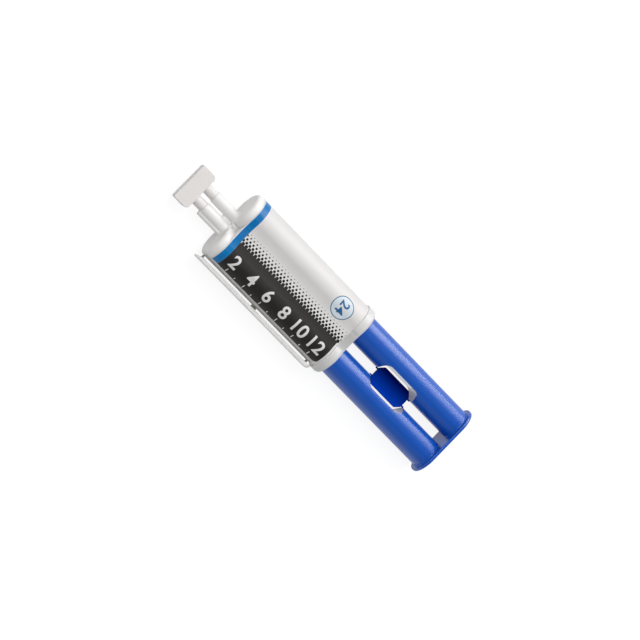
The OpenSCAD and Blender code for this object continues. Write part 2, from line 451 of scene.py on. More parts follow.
    @classmethod
    def cut(cls, piece: bpy.types.Object, *tools: bpy.types.Object) -> None:
        """Takes closed pieces out of another."""
        for tool in tools:
            cls._combine(piece, tool, "DIFFERENCE")

    @classmethod
    def join(cls, piece: bpy.types.Object, *others: bpy.types.Object) -> None:
        """Puts loose meshes into one object.

        Args:
            piece: The object that takes them in.
            others: The objects whose meshes go in.
        """
        cls.take_up(piece)
        for other in others:
            other.select_set(True)
        bpy.ops.object.join()

    @classmethod
    def smooth(cls, piece: bpy.types.Object, angle_deg: float = 35.0) -> None:
        """Shades a piece smooth, but for its sharp edges, and keeps its large faces flat.

        Args:
            piece: The piece.
            angle_deg: Edges sharper than this stay sharp.
        """
        cls.take_up(piece)
        bpy.ops.object.shade_smooth_by_angle(angle=math.radians(angle_deg))
        bpy.ops.object.modifier_add(type="WEIGHTED_NORMAL")
        piece.modifiers[-1].keep_sharp = True
        cls.apply_newest(piece)
        cls.lay_down()


class NodeKind(Enum):
    """The shader nodes that the finishes are made of."""

    COORDS = "ShaderNodeTexCoord"
    UV = "ShaderNodeUVMap"
    MAPPING = "ShaderNodeMapping"
    NOISE = "ShaderNodeTexNoise"
    MIX = "ShaderNodeMix"
    MATH = "ShaderNodeMath"
    VECTOR = "ShaderNodeVectorMath"
    SPLIT = "ShaderNodeSeparateXYZ"
    BUMP = "ShaderNodeBump"
    SURFACE = "ShaderNodeBsdfPrincipled"
    OUTPUT = "ShaderNodeOutputMaterial"
    DIFFUSE = "ShaderNodeBsdfDiffuse"
    GLOW = "ShaderNodeEmission"
    ADD_SHADER = "ShaderNodeAddShader"
    LIGHT_PATH = "ShaderNodeLightPath"
    BACKGROUND = "ShaderNodeBackground"
    WORLD_OUTPUT = "ShaderNodeOutputWorld"


class Wire:
    """One socket of a node tree, with arithmetic that adds Math nodes."""

    def __init__(self, tree: "NodeTree", socket: bpy.types.NodeSocket) -> None:
        """Holds the socket and the tree that it is in."""
        self.tree = tree
        self.socket = socket

    def _math(self, operation: str, *values: "Wire | float", clamp: bool = False) -> "Wire":
        """Adds one Math node."""
        settings = {"operation": operation, "use_clamp": clamp}
        return self.tree.add(NodeKind.MATH, settings, dict(enumerate(values)))

    def __add__(self, other: "Wire | float") -> "Wire":
        """Sum."""
        return self._math("ADD", self, other)

    def __sub__(self, other: "Wire | float") -> "Wire":
        """Difference."""
        return self._math("SUBTRACT", self, other)

    def __rsub__(self, other: float) -> "Wire":
        """Difference, number first."""
        return self._math("SUBTRACT", other, self)

    def __mul__(self, other: "Wire | float") -> "Wire":
        """Product."""
        return self._math("MULTIPLY", self, other)

    def __truediv__(self, other: "Wire | float") -> "Wire":
        """Quotient."""
        return self._math("DIVIDE", self, other)

    __radd__ = __add__
    __rmul__ = __mul__

    def size(self) -> "Wire":
        """The value without its sign."""
        return self._math("ABSOLUTE", self)

    def root(self) -> "Wire":
        """Square root."""
        return self._math("SQRT", self)

    def remainder(self, other: float) -> "Wire":
        """What is left after whole steps of another value, never negative."""
        return self._math("FLOORED_MODULO", self, other)

    def most(self, other: "Wire | float") -> "Wire":
        """The larger of two."""
        return self._math("MAXIMUM", self, other)

    def above(self, edge: "Wire | float", soft: float) -> "Wire":
        """One above an edge and nought below it, with a soft step between.

        Args:
            edge: Where the step is.
            soft: Width of the step.

        Returns:
            The mask.
        """
        return self._math("MULTIPLY_ADD", self - edge, 1.0 / soft, 0.5, clamp=True)

    def below(self, edge: "Wire | float", soft: float) -> "Wire":
        """One below an edge and nought above it, with a soft step between."""
        return 1.0 - self.above(edge, soft)

    def part(self, letter: str) -> "Wire":
        """One coordinate of a vector, by its letter."""
        return self.tree.add(NodeKind.SPLIT, None, {0: self}, output=letter)


class MixSocket(IntEnum):
    """Sockets of a Mix node that mixes colours, by their number."""

    MASK = 0
    UNDER = 6
    OVER = 7
    MIXED = 2


class NodeTree:
    """Makes the nodes of one material or world."""

    def __init__(self, tree: bpy.types.NodeTree) -> None:
        """Takes a node tree and empties it."""
        self.tree = tree
        tree.nodes.clear()

    def add(
        self,
        kind: NodeKind,
        settings: dict[str, object] | None = None,
        inputs: dict[str | int, object] | None = None,
        output: str | int = 0,
    ) -> Wire:
        """Adds one node.

        Args:
            kind: Type of the node.
            settings: The node's own settings, set before its sockets.
            inputs: Values or wires, by the name or number of the socket.
            output: Name or number of the output that is returned.

        Returns:
            The chosen output, or the first input of a node that has none.
        """
        node = self.tree.nodes.new(kind.value)
        for name, value in (settings or {}).items():
            setattr(node, name, value)
        for key, value in (inputs or {}).items():
            if isinstance(value, Wire):
                self.tree.links.new(value.socket, node.inputs[key])
            else:
                node.inputs[key].default_value = value
        return Wire(self, node.outputs[output] if node.outputs else node.inputs[0])

    def coords(self, output: str = "Object") -> Wire:
        """Coordinates on the piece."""
        return self.add(NodeKind.COORDS, output=output)

    def drawn_out(self, coords: Wire, share: float) -> Wire:
        """Coordinates that draw a pattern out along the syringe."""
        return self.add(NodeKind.MAPPING, None, {"Vector": coords, "Scale": (share, 1.0, 1.0)})

    def noise(self, coords: Wire, pattern: "Pattern") -> Wire:
        """Adds a noise and returns its value."""
        inputs = {"Vector": coords, "Scale": pattern.scale, "Detail": pattern.detail}
        return self.add(NodeKind.NOISE, None, inputs)

    def blend(self, mask: Wire, under: "Wire | Colour", over: "Wire | Colour") -> Wire:
        """Mixes two colours by a mask.

        Args:
            mask: Nought shows the first, one the second.
            under: The first colour.
            over: The second colour.

        Returns:
            The mixed colour.
        """
        a, b = (c if isinstance(c, Wire) else (*c, 1.0) for c in (under, over))
        inputs = {MixSocket.MASK: mask, MixSocket.UNDER: a, MixSocket.OVER: b}
        return self.add(NodeKind.MIX, {"data_type": "RGBA"}, inputs, output=MixSocket.MIXED)

    def tint(self, colour: Colour, shade: Wire, swing: float) -> Wire:
        """A colour that a noise makes a little lighter and darker.

        Args:
            colour: The middle colour.
            shade: The noise.
            swing: How far it goes each way, as a share.

        Returns:
            The varied colour.
        """
        dark = tuple(c * (1.0 - swing) for c in colour)
        light = tuple(min(1.0, c * (1.0 + swing)) for c in colour)
        return self.blend(shade, dark, light)

    def bump(self, height: Wire, depth: float, normal: Wire | None = None) -> Wire:
        """Adds a bump.

        Args:
            height: The relief, from nought to one.
            depth: Its depth in metres.
            normal: A bump that it lies on, if any.

        Returns:
            The normal.
        """
        inputs = {"Height": height, "Distance": depth, "Strength": 1.0}
        if normal is not None:
            inputs["Normal"] = normal
        return self.add(NodeKind.BUMP, None, inputs)

    def close(self, shader: Wire) -> None:
        """Sends a shader to the material's output."""
        self.add(NodeKind.OUTPUT, None, {"Surface": shader})

    def surface(self, inputs: dict[str, object]) -> None:
        """Adds the surface shader with its inputs, and sends it to the output."""
        self.close(self.add(NodeKind.SURFACE, {"subsurface_method": "RANDOM_WALK"}, inputs))


@dataclass(frozen=True)
class Pattern:
    """The scale and the detail of a noise."""

    scale: float
    detail: float


@dataclass(frozen=True)
class Finish:
    """A finish that a piece is dressed in."""

    made: ClassVar[dict[str, bpy.types.Material]] = {}

    name: str

    def draw(self, tree: NodeTree) -> None:
        """Draws the finish's nodes."""
        raise NotImplementedError

    def material(self) -> bpy.types.Material:
        """Makes the finish as a material, once.

        Returns:
            The material.
        """
        if self.name not in self.made:
            material = bpy.data.materials.new(self.name)
            material.use_nodes = True
            self.draw(NodeTree(material.node_tree))
            self.made[self.name] = material
        return self.made[self.name]

    def dress(self, piece: bpy.types.Object) -> None:
        """Puts the finish on all of a piece.

        Args:
            piece: The piece.
        """
        piece.data.materials.clear()
        piece.data.materials.append(self.material())
        for face in piece.data.polygons:
            face.material_index = 0


@dataclass(frozen=True)
class MouldedPlastic(Finish):
    """Injection-moulded plastic: fine spark texture, faint flow and drag lines."""

    colour: Colour = (0.8, 0.8, 0.8)
    swing: float = 0.03
    roughness: float = 0.3
    roughness_swing: float = 0.06
    grain_depth: float = 0.0000012
    drag_depth: float = 0.000002
    milkiness: float = 0.0
    milk_reach: float = 0.001
    milk_tint: Colour = (1.0, 0.97, 0.92)
    specular: float = 0.5
    drawn: float = 0.04
    flow: Pattern = Pattern(420.0, 4.0)
    cloud: Pattern = Pattern(130.0, 3.0)
    grain: Pattern = Pattern(2400.0, 1.0)
    drag: Pattern = Pattern(900.0, 1.0)

    def shade(self, coords: Wire, colour: Wire) -> Wire:
        """Changes the colour where painted shade is laid on; here it is left as it is."""
        return colour

    def polish(self, coords: Wire, rough: Wire) -> Wire:
        """Changes the roughness where a part of the mould was polished."""
        return rough

    def draw(self, tree: NodeTree) -> None:
        """Draws the colour, the roughness and the two bumps.

        Args:
            tree: The material's nodes.
        """
        coords = tree.coords()
        long_way = tree.drawn_out(coords, self.drawn)
        flow = tree.noise(long_way, self.flow)
        colour = tree.tint(self.colour, tree.noise(coords, self.cloud), self.swing)
        rough = flow * (2 * self.roughness_swing) + (self.roughness - self.roughness_swing)
        grain = tree.bump(tree.noise(coords, self.grain), self.grain_depth)
        tree.surface(
            {
                "Base Color": self.shade(coords, colour),
                "Roughness": self.polish(coords, rough),
                "Normal": tree.bump(tree.noise(long_way, self.drag), self.drag_depth, grain),
                "Specular IOR Level": self.specular,
                "Subsurface Weight": self.milkiness,
                "Subsurface Radius": self.milk_tint,
                "Subsurface Scale": self.milk_reach,
            }
        )


@dataclass(frozen=True)
class RodPlastic(MouldedPlastic):
    """The plunger's plastic, with the window's walls polished."""

    wall_roughness: float = 0.03
    wall_edge: float = 0.05

    def polish(self, coords: Wire, rough: Wire) -> Wire:
        """Makes the window's walls smoother than the rods.

        Args:
            coords: Object coordinates.
            rough: The roughness of the rods.

        Returns:
            The roughness.
        """
        middle = at(SIZE.window_s)
        corner, edge = SIZE.window_r * MM, self.wall_edge * MM
        along = (coords.part("X") - middle.x).size()
        across = (coords.part("Y") - middle.y).size()
        past_end = (along - (SIZE.window_len / 2 * MM - corner)).most(0.0)
        past_side = (across - (SIZE.window_w / 2 * MM - corner)).most(0.0)
        from_corner = (past_end * past_end + past_side * past_side).root()
        return rough - from_corner.below(corner + edge, edge) * (rough - self.wall_roughness)


@dataclass(frozen=True)
class ShellPlastic(MouldedPlastic):
    """The barrels' thin plastic, with painted shade that greys the collar and darkens the collar's
    bridge between the barrels.
    """

    collar_painted_shade: Colour = (0.7, 0.695, 0.695)
    bridge_painted_shade: Colour = (0.5, 0.5, 0.5)
    bridge_half: float = 4.5
    bridge_fade: float = 4.0
    collar_fade: float = 0.6

    def shade(self, coords: Wire, colour: Wire) -> Wire:
        """Paints shade on the collar, greyer than the barrels, and deeper painted shade on its
        hollow bridge.

        Args:
            coords: Object coordinates.
            colour: The barrels' colour.

        Returns:
            The colour.
        """
        tree = coords.tree
        across = (coords.part("Y") - at(0.0).y).size()
        # Painted shade: grey on the collar, and darker on the bridge between the barrels.
        on_bridge = across.below(self.bridge_half * MM, self.bridge_fade * MM)
        painted_collar_shade = tree.blend(on_bridge, self.collar_painted_shade, self.bridge_painted_shade)
        on_collar = coords.part("X").below(at(SIZE.collar_end_s).x, self.collar_fade * MM)
        return tree.blend(on_collar, colour, painted_collar_shade)


@dataclass(frozen=True)
class ShadowedPlastic(MouldedPlastic):
    """The stopper's plastic, with a painted shadow that darkens it towards the hardener's side."""

    painted_shadow: Colour = (0.0, 0.002, 0.1)
    fade: float = 9.0

    def shade(self, coords: Wire, colour: Wire) -> Wire:
        """Blends a painted shadow across the plate, towards the hardener's side."""
        # Painted shadow of the hardener's rod, darker towards the hardener's side.
        in_painted_shadow = coords.part("Y").below(at(0.0).y, self.fade * MM)
        return coords.tree.blend(in_painted_shadow, colour, self.painted_shadow)


@dataclass(frozen=True)
class BladePlastic(MouldedPlastic):
    """The spatula's plastic, with painted shade that greys the thin tabs that hold it."""

    tab_painted_shade: Colour = (0.26, 0.255, 0.25)
    fade: float = 0.2

    def shade(self, coords: Wire, colour: Wire) -> Wire:
        """Darkens the tabs with painted shade."""
        # Painted shade in the gap under the blade: the tabs are greyed.
        on_tab = coords.part("Y").below(at(0.0, SIZE.spatula_y).y, self.fade * MM)
        return coords.tree.blend(on_tab, colour, self.tab_painted_shade)


@dataclass(frozen=True)
class SealRubber(Finish):
    """Black piston rubber with a dull bloom."""

    black: Colour = (0.012, 0.013, 0.016)
    bloomed: Colour = (0.035, 0.036, 0.04)
    roughness: float = 0.45
    roughness_swing: float = 0.2
    grain_depth: float = 0.000003
    bloom: Pattern = Pattern(300.0, 5.0)
    grain: Pattern = Pattern(4000.0, 2.0)

    def draw(self, tree: NodeTree) -> None:
        """Draws the rubber.

        Args:
            tree: The material's nodes.
        """
        coords = tree.coords()
        bloom = tree.noise(coords, self.bloom)
        tree.surface(
            {
                "Base Color": tree.blend(bloom, self.black, self.bloomed),
                "Roughness": bloom * self.roughness_swing + self.roughness,
                "Normal": tree.bump(tree.noise(coords, self.grain), self.grain_depth),
            }
        )


@dataclass(frozen=True)
class Gel(Finish):
    """A column of adhesive: clear, thick and wet, with fine bubbles."""

    colour: Colour = (0.84, 0.8, 0.62)
    swing: float = 0.08
    roughness: float = 0.08
    roughness_swing: float = 0.08
    bubble_share: float = 0.68
    bubble_edge: float = 0.05
    bubble_depth: float = 0.00003
    milkiness: float = 0.6
    milk_tint: Colour = (1.0, 0.8, 0.4)
    milk_reach: float = 0.002
    cloud: Pattern = Pattern(90.0, 4.0)
    bubbles: Pattern = Pattern(1500.0, 1.0)

    def draw(self, tree: NodeTree) -> None:
        """Draws the gel.

        Args:
            tree: The material's nodes.
        """
        coords = tree.coords()
        cloud = tree.noise(coords, self.cloud)
        bubbles = tree.noise(coords, self.bubbles).above(self.bubble_share, self.bubble_edge)
        tree.surface(
            {
                "Base Color": tree.tint(self.colour, cloud, self.swing),
                "Roughness": cloud * self.roughness_swing + self.roughness,
                "Normal": tree.bump(bubbles, self.bubble_depth),
                "Subsurface Weight": self.milkiness,
                "Subsurface Radius": self.milk_tint,
                "Subsurface Scale": self.milk_reach,
            }
        )


@dataclass(frozen=True)
class Ink(Finish):
    """Printing ink, a little uneven where it is thin."""

    colour: Colour = (0.8, 0.8, 0.8)
    swing: float = 0.06
    roughness: float = 0.33
    roughness_swing: float = 0.1
    depth: float = 0.000001
    cover: Pattern = Pattern(2200.0, 4.0)

    def draw(self, tree: NodeTree) -> None:
        """Draws the ink.

        Args:
            tree: The material's nodes.
        """
        cover = tree.noise(tree.coords(), self.cover)
        tree.surface(
            {
                "Base Color": tree.tint(self.colour, cover, self.swing),
                "Roughness": cover * self.roughness_swing + self.roughness,
                "Normal": tree.bump(cover, self.depth),
            }
        )


class Stretch(IntEnum):
    """The runs of the film's path, in order from its front free edge."""

    NEAR_FRONT = 0
    WAIST_FRONT = 1
    FAR = 2
    WAIST_BACK = 3
    NEAR_BACK = 4


class Run(NamedTuple):
    """One stretch of the label's way round, an arc in the plane across the syringe.

    The angles count from +Z towards +Y, and a turn goes the other way, towards -Y.
    """

    y: float
    z: float
    r: float
    start: float
    turn: float

    @property
    def length(self) -> float:
        """Length of the arc."""
        return self.r * abs(self.turn)


@dataclass(frozen=True)
class LabelPath:
    """The label's way round the barrels, unrolled from its front free edge."""

    r: float = SIZE.label_r
    dip: float = SIZE.label_dip

    @property
    def waist_r(self) -> float:
        """Radius of the hollow curve between the barrels."""
        half = SIZE.half_pitch
        return ((self.r - self.dip) ** 2 + half**2 - self.r**2) / (2 * self.dip)

    @property
    def waist_z(self) -> float:
        """Height of that curve's middle."""
        return self.r - self.dip + self.waist_r

    @property
    def touch(self) -> float:
        """Angle on a barrel, from its top towards the middle, where the curve takes over."""
        return math.asin(SIZE.half_pitch / (self.r + self.waist_r))

    @property
    def edge(self) -> float:
        """Angle on the resin barrel, from its top outwards, of the free edges."""
        return math.radians(SIZE.label_edge_deg)

    def runs(self) -> list[Run]:
        """The stretches of the way round.

        Returns:
            The stretches in order.
        """
        half, touch = SIZE.half_pitch, self.touch
        near = self.edge + touch
        return [
            Run(half, 0.0, self.r, self.edge, near),
            Run(0.0, self.waist_z, self.waist_r, math.pi - touch, -2 * touch),
            Run(-half, 0.0, self.r, touch, math.pi + 2 * touch),
            Run(0.0, -self.waist_z, self.waist_r, -touch, -2 * touch),
            Run(half, 0.0, self.r, math.pi + touch, near),
        ]

    @property
    def length(self) -> float:
        """Length of the whole way round."""
        return sum(run.length for run in self.runs())

    def spot(self, v: float, lift: float = 0.0) -> tuple[float, float]:
        """Where a distance along the way round lies.

        Args:
            v: Millimetres from the front free edge.
            lift: Millimetres off the label's face.

        Returns:
            Its y and z.
        """
        for run in self.runs():
            if v <= run.length:
                break
            v -= run.length
        angle = run.start - math.copysign(v / run.r, run.turn)
        reach = run.r + math.copysign(lift, run.turn)
        return run.y + reach * math.sin(angle), run.z + reach * math.cos(angle)

    def from_front(self, y: float) -> float:
        """Distance along the way round of a place seen straight from the front.

        Args:
            y: Millimetres from the middle plane.

        Returns:
            Millimetres from the front free edge.
        """
        half = SIZE.half_pitch
        first = self.r * (self.edge + self.touch)
        if y > half - self.r * math.sin(self.touch):
            return self.r * (self.edge - math.asin((y - half) / self.r))
        if y > self.r * math.sin(self.touch) - half:
            return first + self.waist_r * (self.touch - math.asin(y / self.waist_r))
        across = 2 * self.waist_r * self.touch
        return first + across + self.r * (self.touch - math.asin((y + half) / self.r))


PATH = LabelPath()


@dataclass(frozen=True)
class LabelPrint(Finish):
    """The label's film and print: silver film, a stripe, a dark panel, rows of dots and a ring."""

    uv_name: str = "unrolled"
    film: Colour = (0.71, 0.695, 0.69)
    film_swing: float = 0.04
    stripe_low: Colour = (0.0, 0.12, 0.39)
    stripe_high: Colour = (0.0, 0.22, 0.55)
    panel_low: Colour = (0.01, 0.009, 0.009)
    panel_high: Colour = (0.022, 0.017, 0.016)
    dot_black: Colour = (0.004, 0.004, 0.004)
    halo_white: Colour = (0.78, 0.77, 0.75)
    ring_blue: Colour = (0.03, 0.12, 0.22)
    ring_pale: Colour = (0.62, 0.76, 0.88)
    soft: float = 0.1
    stripe_s: tuple[float, float] = (137.0, 140.35)
    panel_s: tuple[float, float] = (72.15, 137.0)
    panel_y: float = 3.35
    panel_corner: float = 2.3
    margin: float = 0.45
    dot_pitch: float = 2.04
    dot_rows: tuple[tuple[float, float], ...] = (
        (2.95, 1.74), (1.6, 1.36), (0.24, 1.1), (-1.2, 0.8), (-2.5, 0.42),
    )
    halo_y: tuple[float, float] = (3.6, -3.2)
    halo_soft: tuple[float, float] = (0.8, 1.2)
    halo_share: float = 0.6
    ring_s: float = 82.0
    ring_y: float = -8.9
    ring_r: float = 5.6
    ring_line: float = 0.42
    wash_middle: float = 0.15
    wash_rise: float = 0.6
    roughness: float = 0.46
    brush_swing: float = 0.08
    ink_gloss: float = 0.05
    stripe_gloss: float = 0.18
    silver: float = 0.08
    specular: float = 0.3
    ink_depth: float = 0.000006
    brush_depth: float = 0.0000008
    wave_depth: float = 0.00004
    drawn: float = 0.05
    cloud: Pattern = Pattern(60.0, 3.0)
    brushed: Pattern = Pattern(3600.0, 3.0)
    speck: Pattern = Pattern(1400.0, 3.0)

    def _dots(self, s: Wire, v: Wire) -> Wire:
        """The rows of dots that shrink away from the panel.

        Args:
            s: Place along the syringe.
            v: Distance round the label.

        Returns:
            The mask of the dots.
        """
        mask = None
        for number, (y, wide) in enumerate(self.dot_rows):
            shift = self.dot_pitch / 2 * (number % 2)
            along = (s + shift).remainder(self.dot_pitch) - self.dot_pitch / 2
            round_way = v - PATH.from_front(y)
            apart = (along * along + round_way * round_way).root()
            dot = apart.below(wide / 2, self.soft)
            mask = dot if mask is None else mask.most(dot)
        return mask

    def _panel(self, s: Wire, v: Wire) -> Wire:
        """The dark panel, with its rear outer corner rounded.

        Args:
            s: Place along the syringe.
            v: Distance round the label.

        Returns:
            The mask of the panel.
        """
        (start, end), soft, r = self.panel_s, self.soft, self.panel_corner
        inner = v.below(PATH.from_front(self.panel_y), soft)
        near_s = (start + r - s).most(0.0)
        near_v = (self.margin + r - v).most(0.0)
        corner = (near_s * near_s + near_v * near_v).root().below(r, soft)
        outer = s.above(start, soft) * v.above(self.margin, soft)
        return outer * inner * corner * s.below(end, soft)

    def _stripe(self, s: Wire, v: Wire) -> Wire:
        """The blue stripe round the label's front end.

        Args:
            s: Place along the syringe.
            v: Distance round the label.

        Returns:
            The mask of the stripe.
        """
        start, end = self.stripe_s
        stripe = s.above(start, self.soft) * s.below(end, self.soft)
        edges = v.above(self.margin, self.soft) * v.below(PATH.length - self.margin, self.soft)
        return stripe * edges

    def _ring(self, s: Wire, v: Wire) -> tuple[Wire, Wire]:
        """The round mark on the hardener's barrel.

        Args:
            s: Place along the syringe.
            v: Distance round the label.

        Returns:
            The masks of its pale wash and of its line.
        """
        ring_v = v - PATH.from_front(self.ring_y)
        ring_s = s - self.ring_s
        out = (ring_v * ring_v + ring_s * ring_s).root()
        disc = out.below(self.ring_r, self.soft)
        wash = disc * (out / self.ring_r * self.wash_rise + self.wash_middle)
        return wash, disc * out.above(self.ring_r - self.ring_line, self.soft)

    def draw(self, tree: NodeTree) -> None:
        """Draws film and print over the unrolled label.

        Args:
            tree: The material's nodes.
        """
        uv = tree.add(NodeKind.UV, {"uv_map": self.uv_name})
        s = uv.part("X") * SIZE.label_len + SIZE.label_s
        v = uv.part("Y") * PATH.length
        coords = tree.coords()
        cloud = tree.noise(coords, self.cloud)
        brushed = tree.noise(tree.drawn_out(coords, self.drawn), self.brushed)
        speck = tree.noise(coords, self.speck)

        on_print = s.below(self.panel_s[1], self.soft) * v.below(PATH.length / 2, self.soft)
        near, far = (PATH.from_front(y) for y in self.halo_y)
        halo = v.above(near, self.halo_soft[0]) * v.below(far, self.halo_soft[1]) * on_print
        dots = self._dots(s, v) * on_print
        panel, stripe = self._panel(s, v), self._stripe(s, v)
        wash, line = self._ring(s, v)

        colour = tree.tint(self.film, cloud, self.film_swing)
        for mask, ink in (
            (halo * self.halo_share, self.halo_white),
            (wash, self.ring_pale),
            (line, self.ring_blue),
            (dots, self.dot_black),
            (panel, tree.blend(speck, self.panel_low, self.panel_high)),
            (stripe, tree.blend(cloud, self.stripe_low, self.stripe_high)),
        ):
            colour = tree.blend(mask, colour, ink)

        inked = panel.most(stripe).most(dots)
        rough = brushed * self.brush_swing + self.roughness
        film_bump = tree.bump(brushed, self.brush_depth, tree.bump(cloud, self.wave_depth))
        tree.surface(
            {
                "Base Color": colour,
                "Roughness": rough - inked * self.ink_gloss - stripe * self.stripe_gloss,
                "Metallic": (1.0 - inked) * self.silver,
                "Normal": tree.bump(inked, self.ink_depth, film_bump),
                "Specular IOR Level": self.specular,
            }
        )


MILKY = ShellPlastic(
    "milky_plastic",
    colour=(0.86, 0.85, 0.838),
    roughness=0.34,
    milkiness=0.12,
    milk_reach=0.0008,
)
CAP_WHITE = MouldedPlastic(
    "cap_white_plastic",
    colour=(0.8, 0.77, 0.755),
    roughness=0.38,
    milkiness=0.3,
    drag_depth=0.0,
)
BLADE_WHITE = BladePlastic(
    "blade_white_plastic",
    colour=(0.85, 0.845, 0.835),
    roughness=0.38,
    milkiness=0.2,
    milk_reach=0.0006,
    drag_depth=0.0,
)
ROD_BLUE = RodPlastic(
    "rod_plastic",
    colour=(0.0, 0.088, 0.5),
    swing=0.05,
    roughness=0.31,
    roughness_swing=0.008,
    drag_depth=0.0000004,
    grain_depth=0.00000005,
    specular=0.67,
)
STOPPER_BLUE = ShadowedPlastic(
    "stopper_blue_plastic",
    colour=(0.0, 0.05, 0.47),
    swing=0.06,
    drag_depth=0.0,
    grain_depth=0.0000004,
    specular=0.02,
)
FILM_PRINT = LabelPrint("label_print")
WHITE_INK = Ink("white_ink", colour=(0.74, 0.73, 0.72))
BLUE_INK = Ink("blue_ink", colour=(0.01, 0.11, 0.3))
RUBBER = SealRubber("seal_rubber")
RESIN = Gel("resin_gel", colour=(0.84, 0.8, 0.62))
HARDENER = Gel("hardener_gel", colour=(0.78, 0.55, 0.2))


@dataclass
class SubAssembly:
    """A group of pieces that are built and dressed together."""

    body: str = ""
    pieces: list[bpy.types.Object] = field(default_factory=list, init=False)

    def build(self) -> None:
        """Builds and dresses the pieces."""
        raise NotImplementedError

    def finish_piece(
        self,
        piece: bpy.types.Object,
        name: str,
        finish: Finish,
        slot: str,
        replaced: str | None = None,
    ) -> None:
        """Names and dresses a piece, rides it on its body and hides the CAD node that it stands
        for.

        Args:
            piece: The piece.
            name: Its name.
            finish: The finish that it gets.
            slot: Not used.
            replaced: The CAD node that it stands for, if any.
        """
        piece.name = piece.data.name = name
        finish.dress(piece)
        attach(piece, self.body)
        if replaced:
            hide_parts(replaced)
        self.pieces.append(piece)


@dataclass
class BarrelShell(SubAssembly):
    """Both barrels with their web, finger collar, end plate and outlet tubes."""

    web_t: float = 4.4
    web_half: float = 1.4
    web_start: float = 0.3
    web_setback: float = 0.4
    shoulder_r: float = 1.5
    collar_edge: float = 1.6
    collar_rim: float = 0.25
    bridge_share: float = 0.25
    bridge_sunk: float = 0.02
    collar_dip: float = 1.1
    step_cove: float = 0.3
    bore_chamfer: float = 0.2
    mouth_len: float = 0.4
    mouth_flare: float = 0.3
    gate_r: float = 0.8
    pip_sides: int = 24
    pip_rings: int = 16
    gate_setback: float = 0.5
    gate_rise_share: float = 0.7
    supports: tuple[tuple[float, float], ...] = ((71.0, 73.5), (139.2, 140.7))
    film_play: float = 0.03
    foot_sunk: float = 0.2
    divider_h: float = 4.8
    divider_t: float = 1.6
    divider_edge: float = 0.3
    key_y: float = 6.45
    key_r: float = 1.3
    key_edge: float = 0.25
    mouth_taper: float = 0.9
    lip_t: float = 0.1
    lip_in: tuple[float, float] = (0.33, 0.38)
    outlet_flare: float = 0.1
    outlet_overrun: float = 0.3
    overrun: float = 1.0
    foot_cove_r: float = 0.45
    body: str = "syringe_body"

    def _barrel(self, side: Side) -> bpy.types.Object:
        """One hollow barrel, drawn from inside its end plate round to the plate's face.

        Args:
            side: Which barrel.

        Returns:
            The barrel.
        """
        stations = [
            (SIZE.bore_end_s, SIZE.bore_r - self.bore_chamfer),
            (SIZE.bore_end_s - self.bore_chamfer, SIZE.bore_r),
            (SIZE.collar_s + self.mouth_len, SIZE.bore_r),
            (SIZE.collar_s, SIZE.bore_r + self.mouth_flare),
            *near_rim(SIZE.collar_s, SIZE.collar_r, self.collar_edge, steps=10),
            *far_rim(SIZE.collar_end_s, SIZE.collar_r, self.collar_rim, steps=3),
            *foot_cove(SIZE.collar_end_s, SIZE.barrel_r, self.step_cove, steps=3),
            *far_rim(SIZE.plate_s, SIZE.barrel_r, self.shoulder_r, steps=8),
        ]
        return Workbench.turned("barrel", Axis.ALONG, at(0.0, side.y), stations, Sides.BARREL)

    def _bridge(self, start: float, end: float, r: float, dip: float) -> bpy.types.Object:
        """A wall between the barrels, hollowed above and below.

        Args:
            start: Where it starts along the syringe.
            end: Where it ends.
            r: Radius that it follows on the barrels.
            dip: How far it sinks between them.

        Returns:
            The wall.
        """
        path = LabelPath(r=r, dip=dip)
        half_y = SIZE.half_pitch - r * math.sin(path.touch)
        half_z = r * math.cos(path.touch) - self.bridge_sunk
        bridge = Workbench.block("bridge", at(start, -half_y, -half_z), at(end, half_y, half_z))
        in_wall = (SIZE.bore_r + SIZE.barrel_r) / 2
        rolls = [(0.0, way * path.waist_z, path.waist_r, Sides.ROLL) for way in (1, -1)]
        bores = [(side.y, 0.0, in_wall, Sides.BARREL) for side in Side]
        for y, z, roll_r, sides in rolls + bores:
            stations = [(start - self.overrun, roll_r), (end + self.overrun, roll_r)]
            roll = Workbench.turned("roll", Axis.ALONG, at(0.0, y, z), stations, sides)
            Workbench.cut(bridge, roll)
        return bridge

    def _web(self) -> bpy.types.Object:
        """The web, with the gate's pip at its front end.

        Returns:
            The web.
        """
        end = SIZE.plate_s - self.web_setback
        low = at(SIZE.collar_s + self.web_start, -self.web_half, -self.web_t / 2)
        web = Workbench.block("web", low, at(end, self.web_half, self.web_t / 2))
        Workbench.lay_down()
        gate_s = end - self.gate_setback - self.gate_r
        centre = at(gate_s, 0.0, self.web_t / 2 + self.gate_r * self.gate_rise_share)
        bpy.ops.mesh.primitive_uv_sphere_add(
            segments=self.pip_sides,
            ring_count=self.pip_rings,
            radius=self.gate_r * MM,
            location=centre,
        )
        Workbench.weld(web, Workbench.keep_added("pip"))
        return web

    def _outlet(self, side: Side) -> bpy.types.Object:
        """One outlet tube with a fillet at its foot.

        Args:
            side: Whose outlet.

        Returns:
            The tube, still solid.
        """
        r = SIZE.outlet_r
        stations = [
            (SIZE.bore_end_s + self.foot_sunk, r + self.foot_cove_r),
            *foot_cove(SIZE.plate_s, r, self.foot_cove_r),
            (SIZE.rim_s - self.mouth_taper, r),
            (SIZE.rim_s - self.lip_t, r - self.lip_in[0]),
            (SIZE.rim_s, r - self.lip_in[1]),
        ]
        return Workbench.turned("outlet", Axis.ALONG, side.outlet, stations, Sides.TUBE)

    def _outlet_bore(self, side: Side) -> bpy.types.Object:
        """What is taken out of an outlet, with a flare at its mouth.

        Args:
            side: Whose outlet.

        Returns:
            The bore's filling.
        """
        r, flare = SIZE.outlet_bore_r, self.outlet_flare
        stations = [
            (SIZE.bore_end_s - self.outlet_overrun, r),
            (SIZE.rim_s - flare, r),
            (SIZE.rim_s + flare, r + flare),
        ]
        return Workbench.turned("outlet_bore", Axis.ALONG, side.outlet, stations, Sides.TUBE)

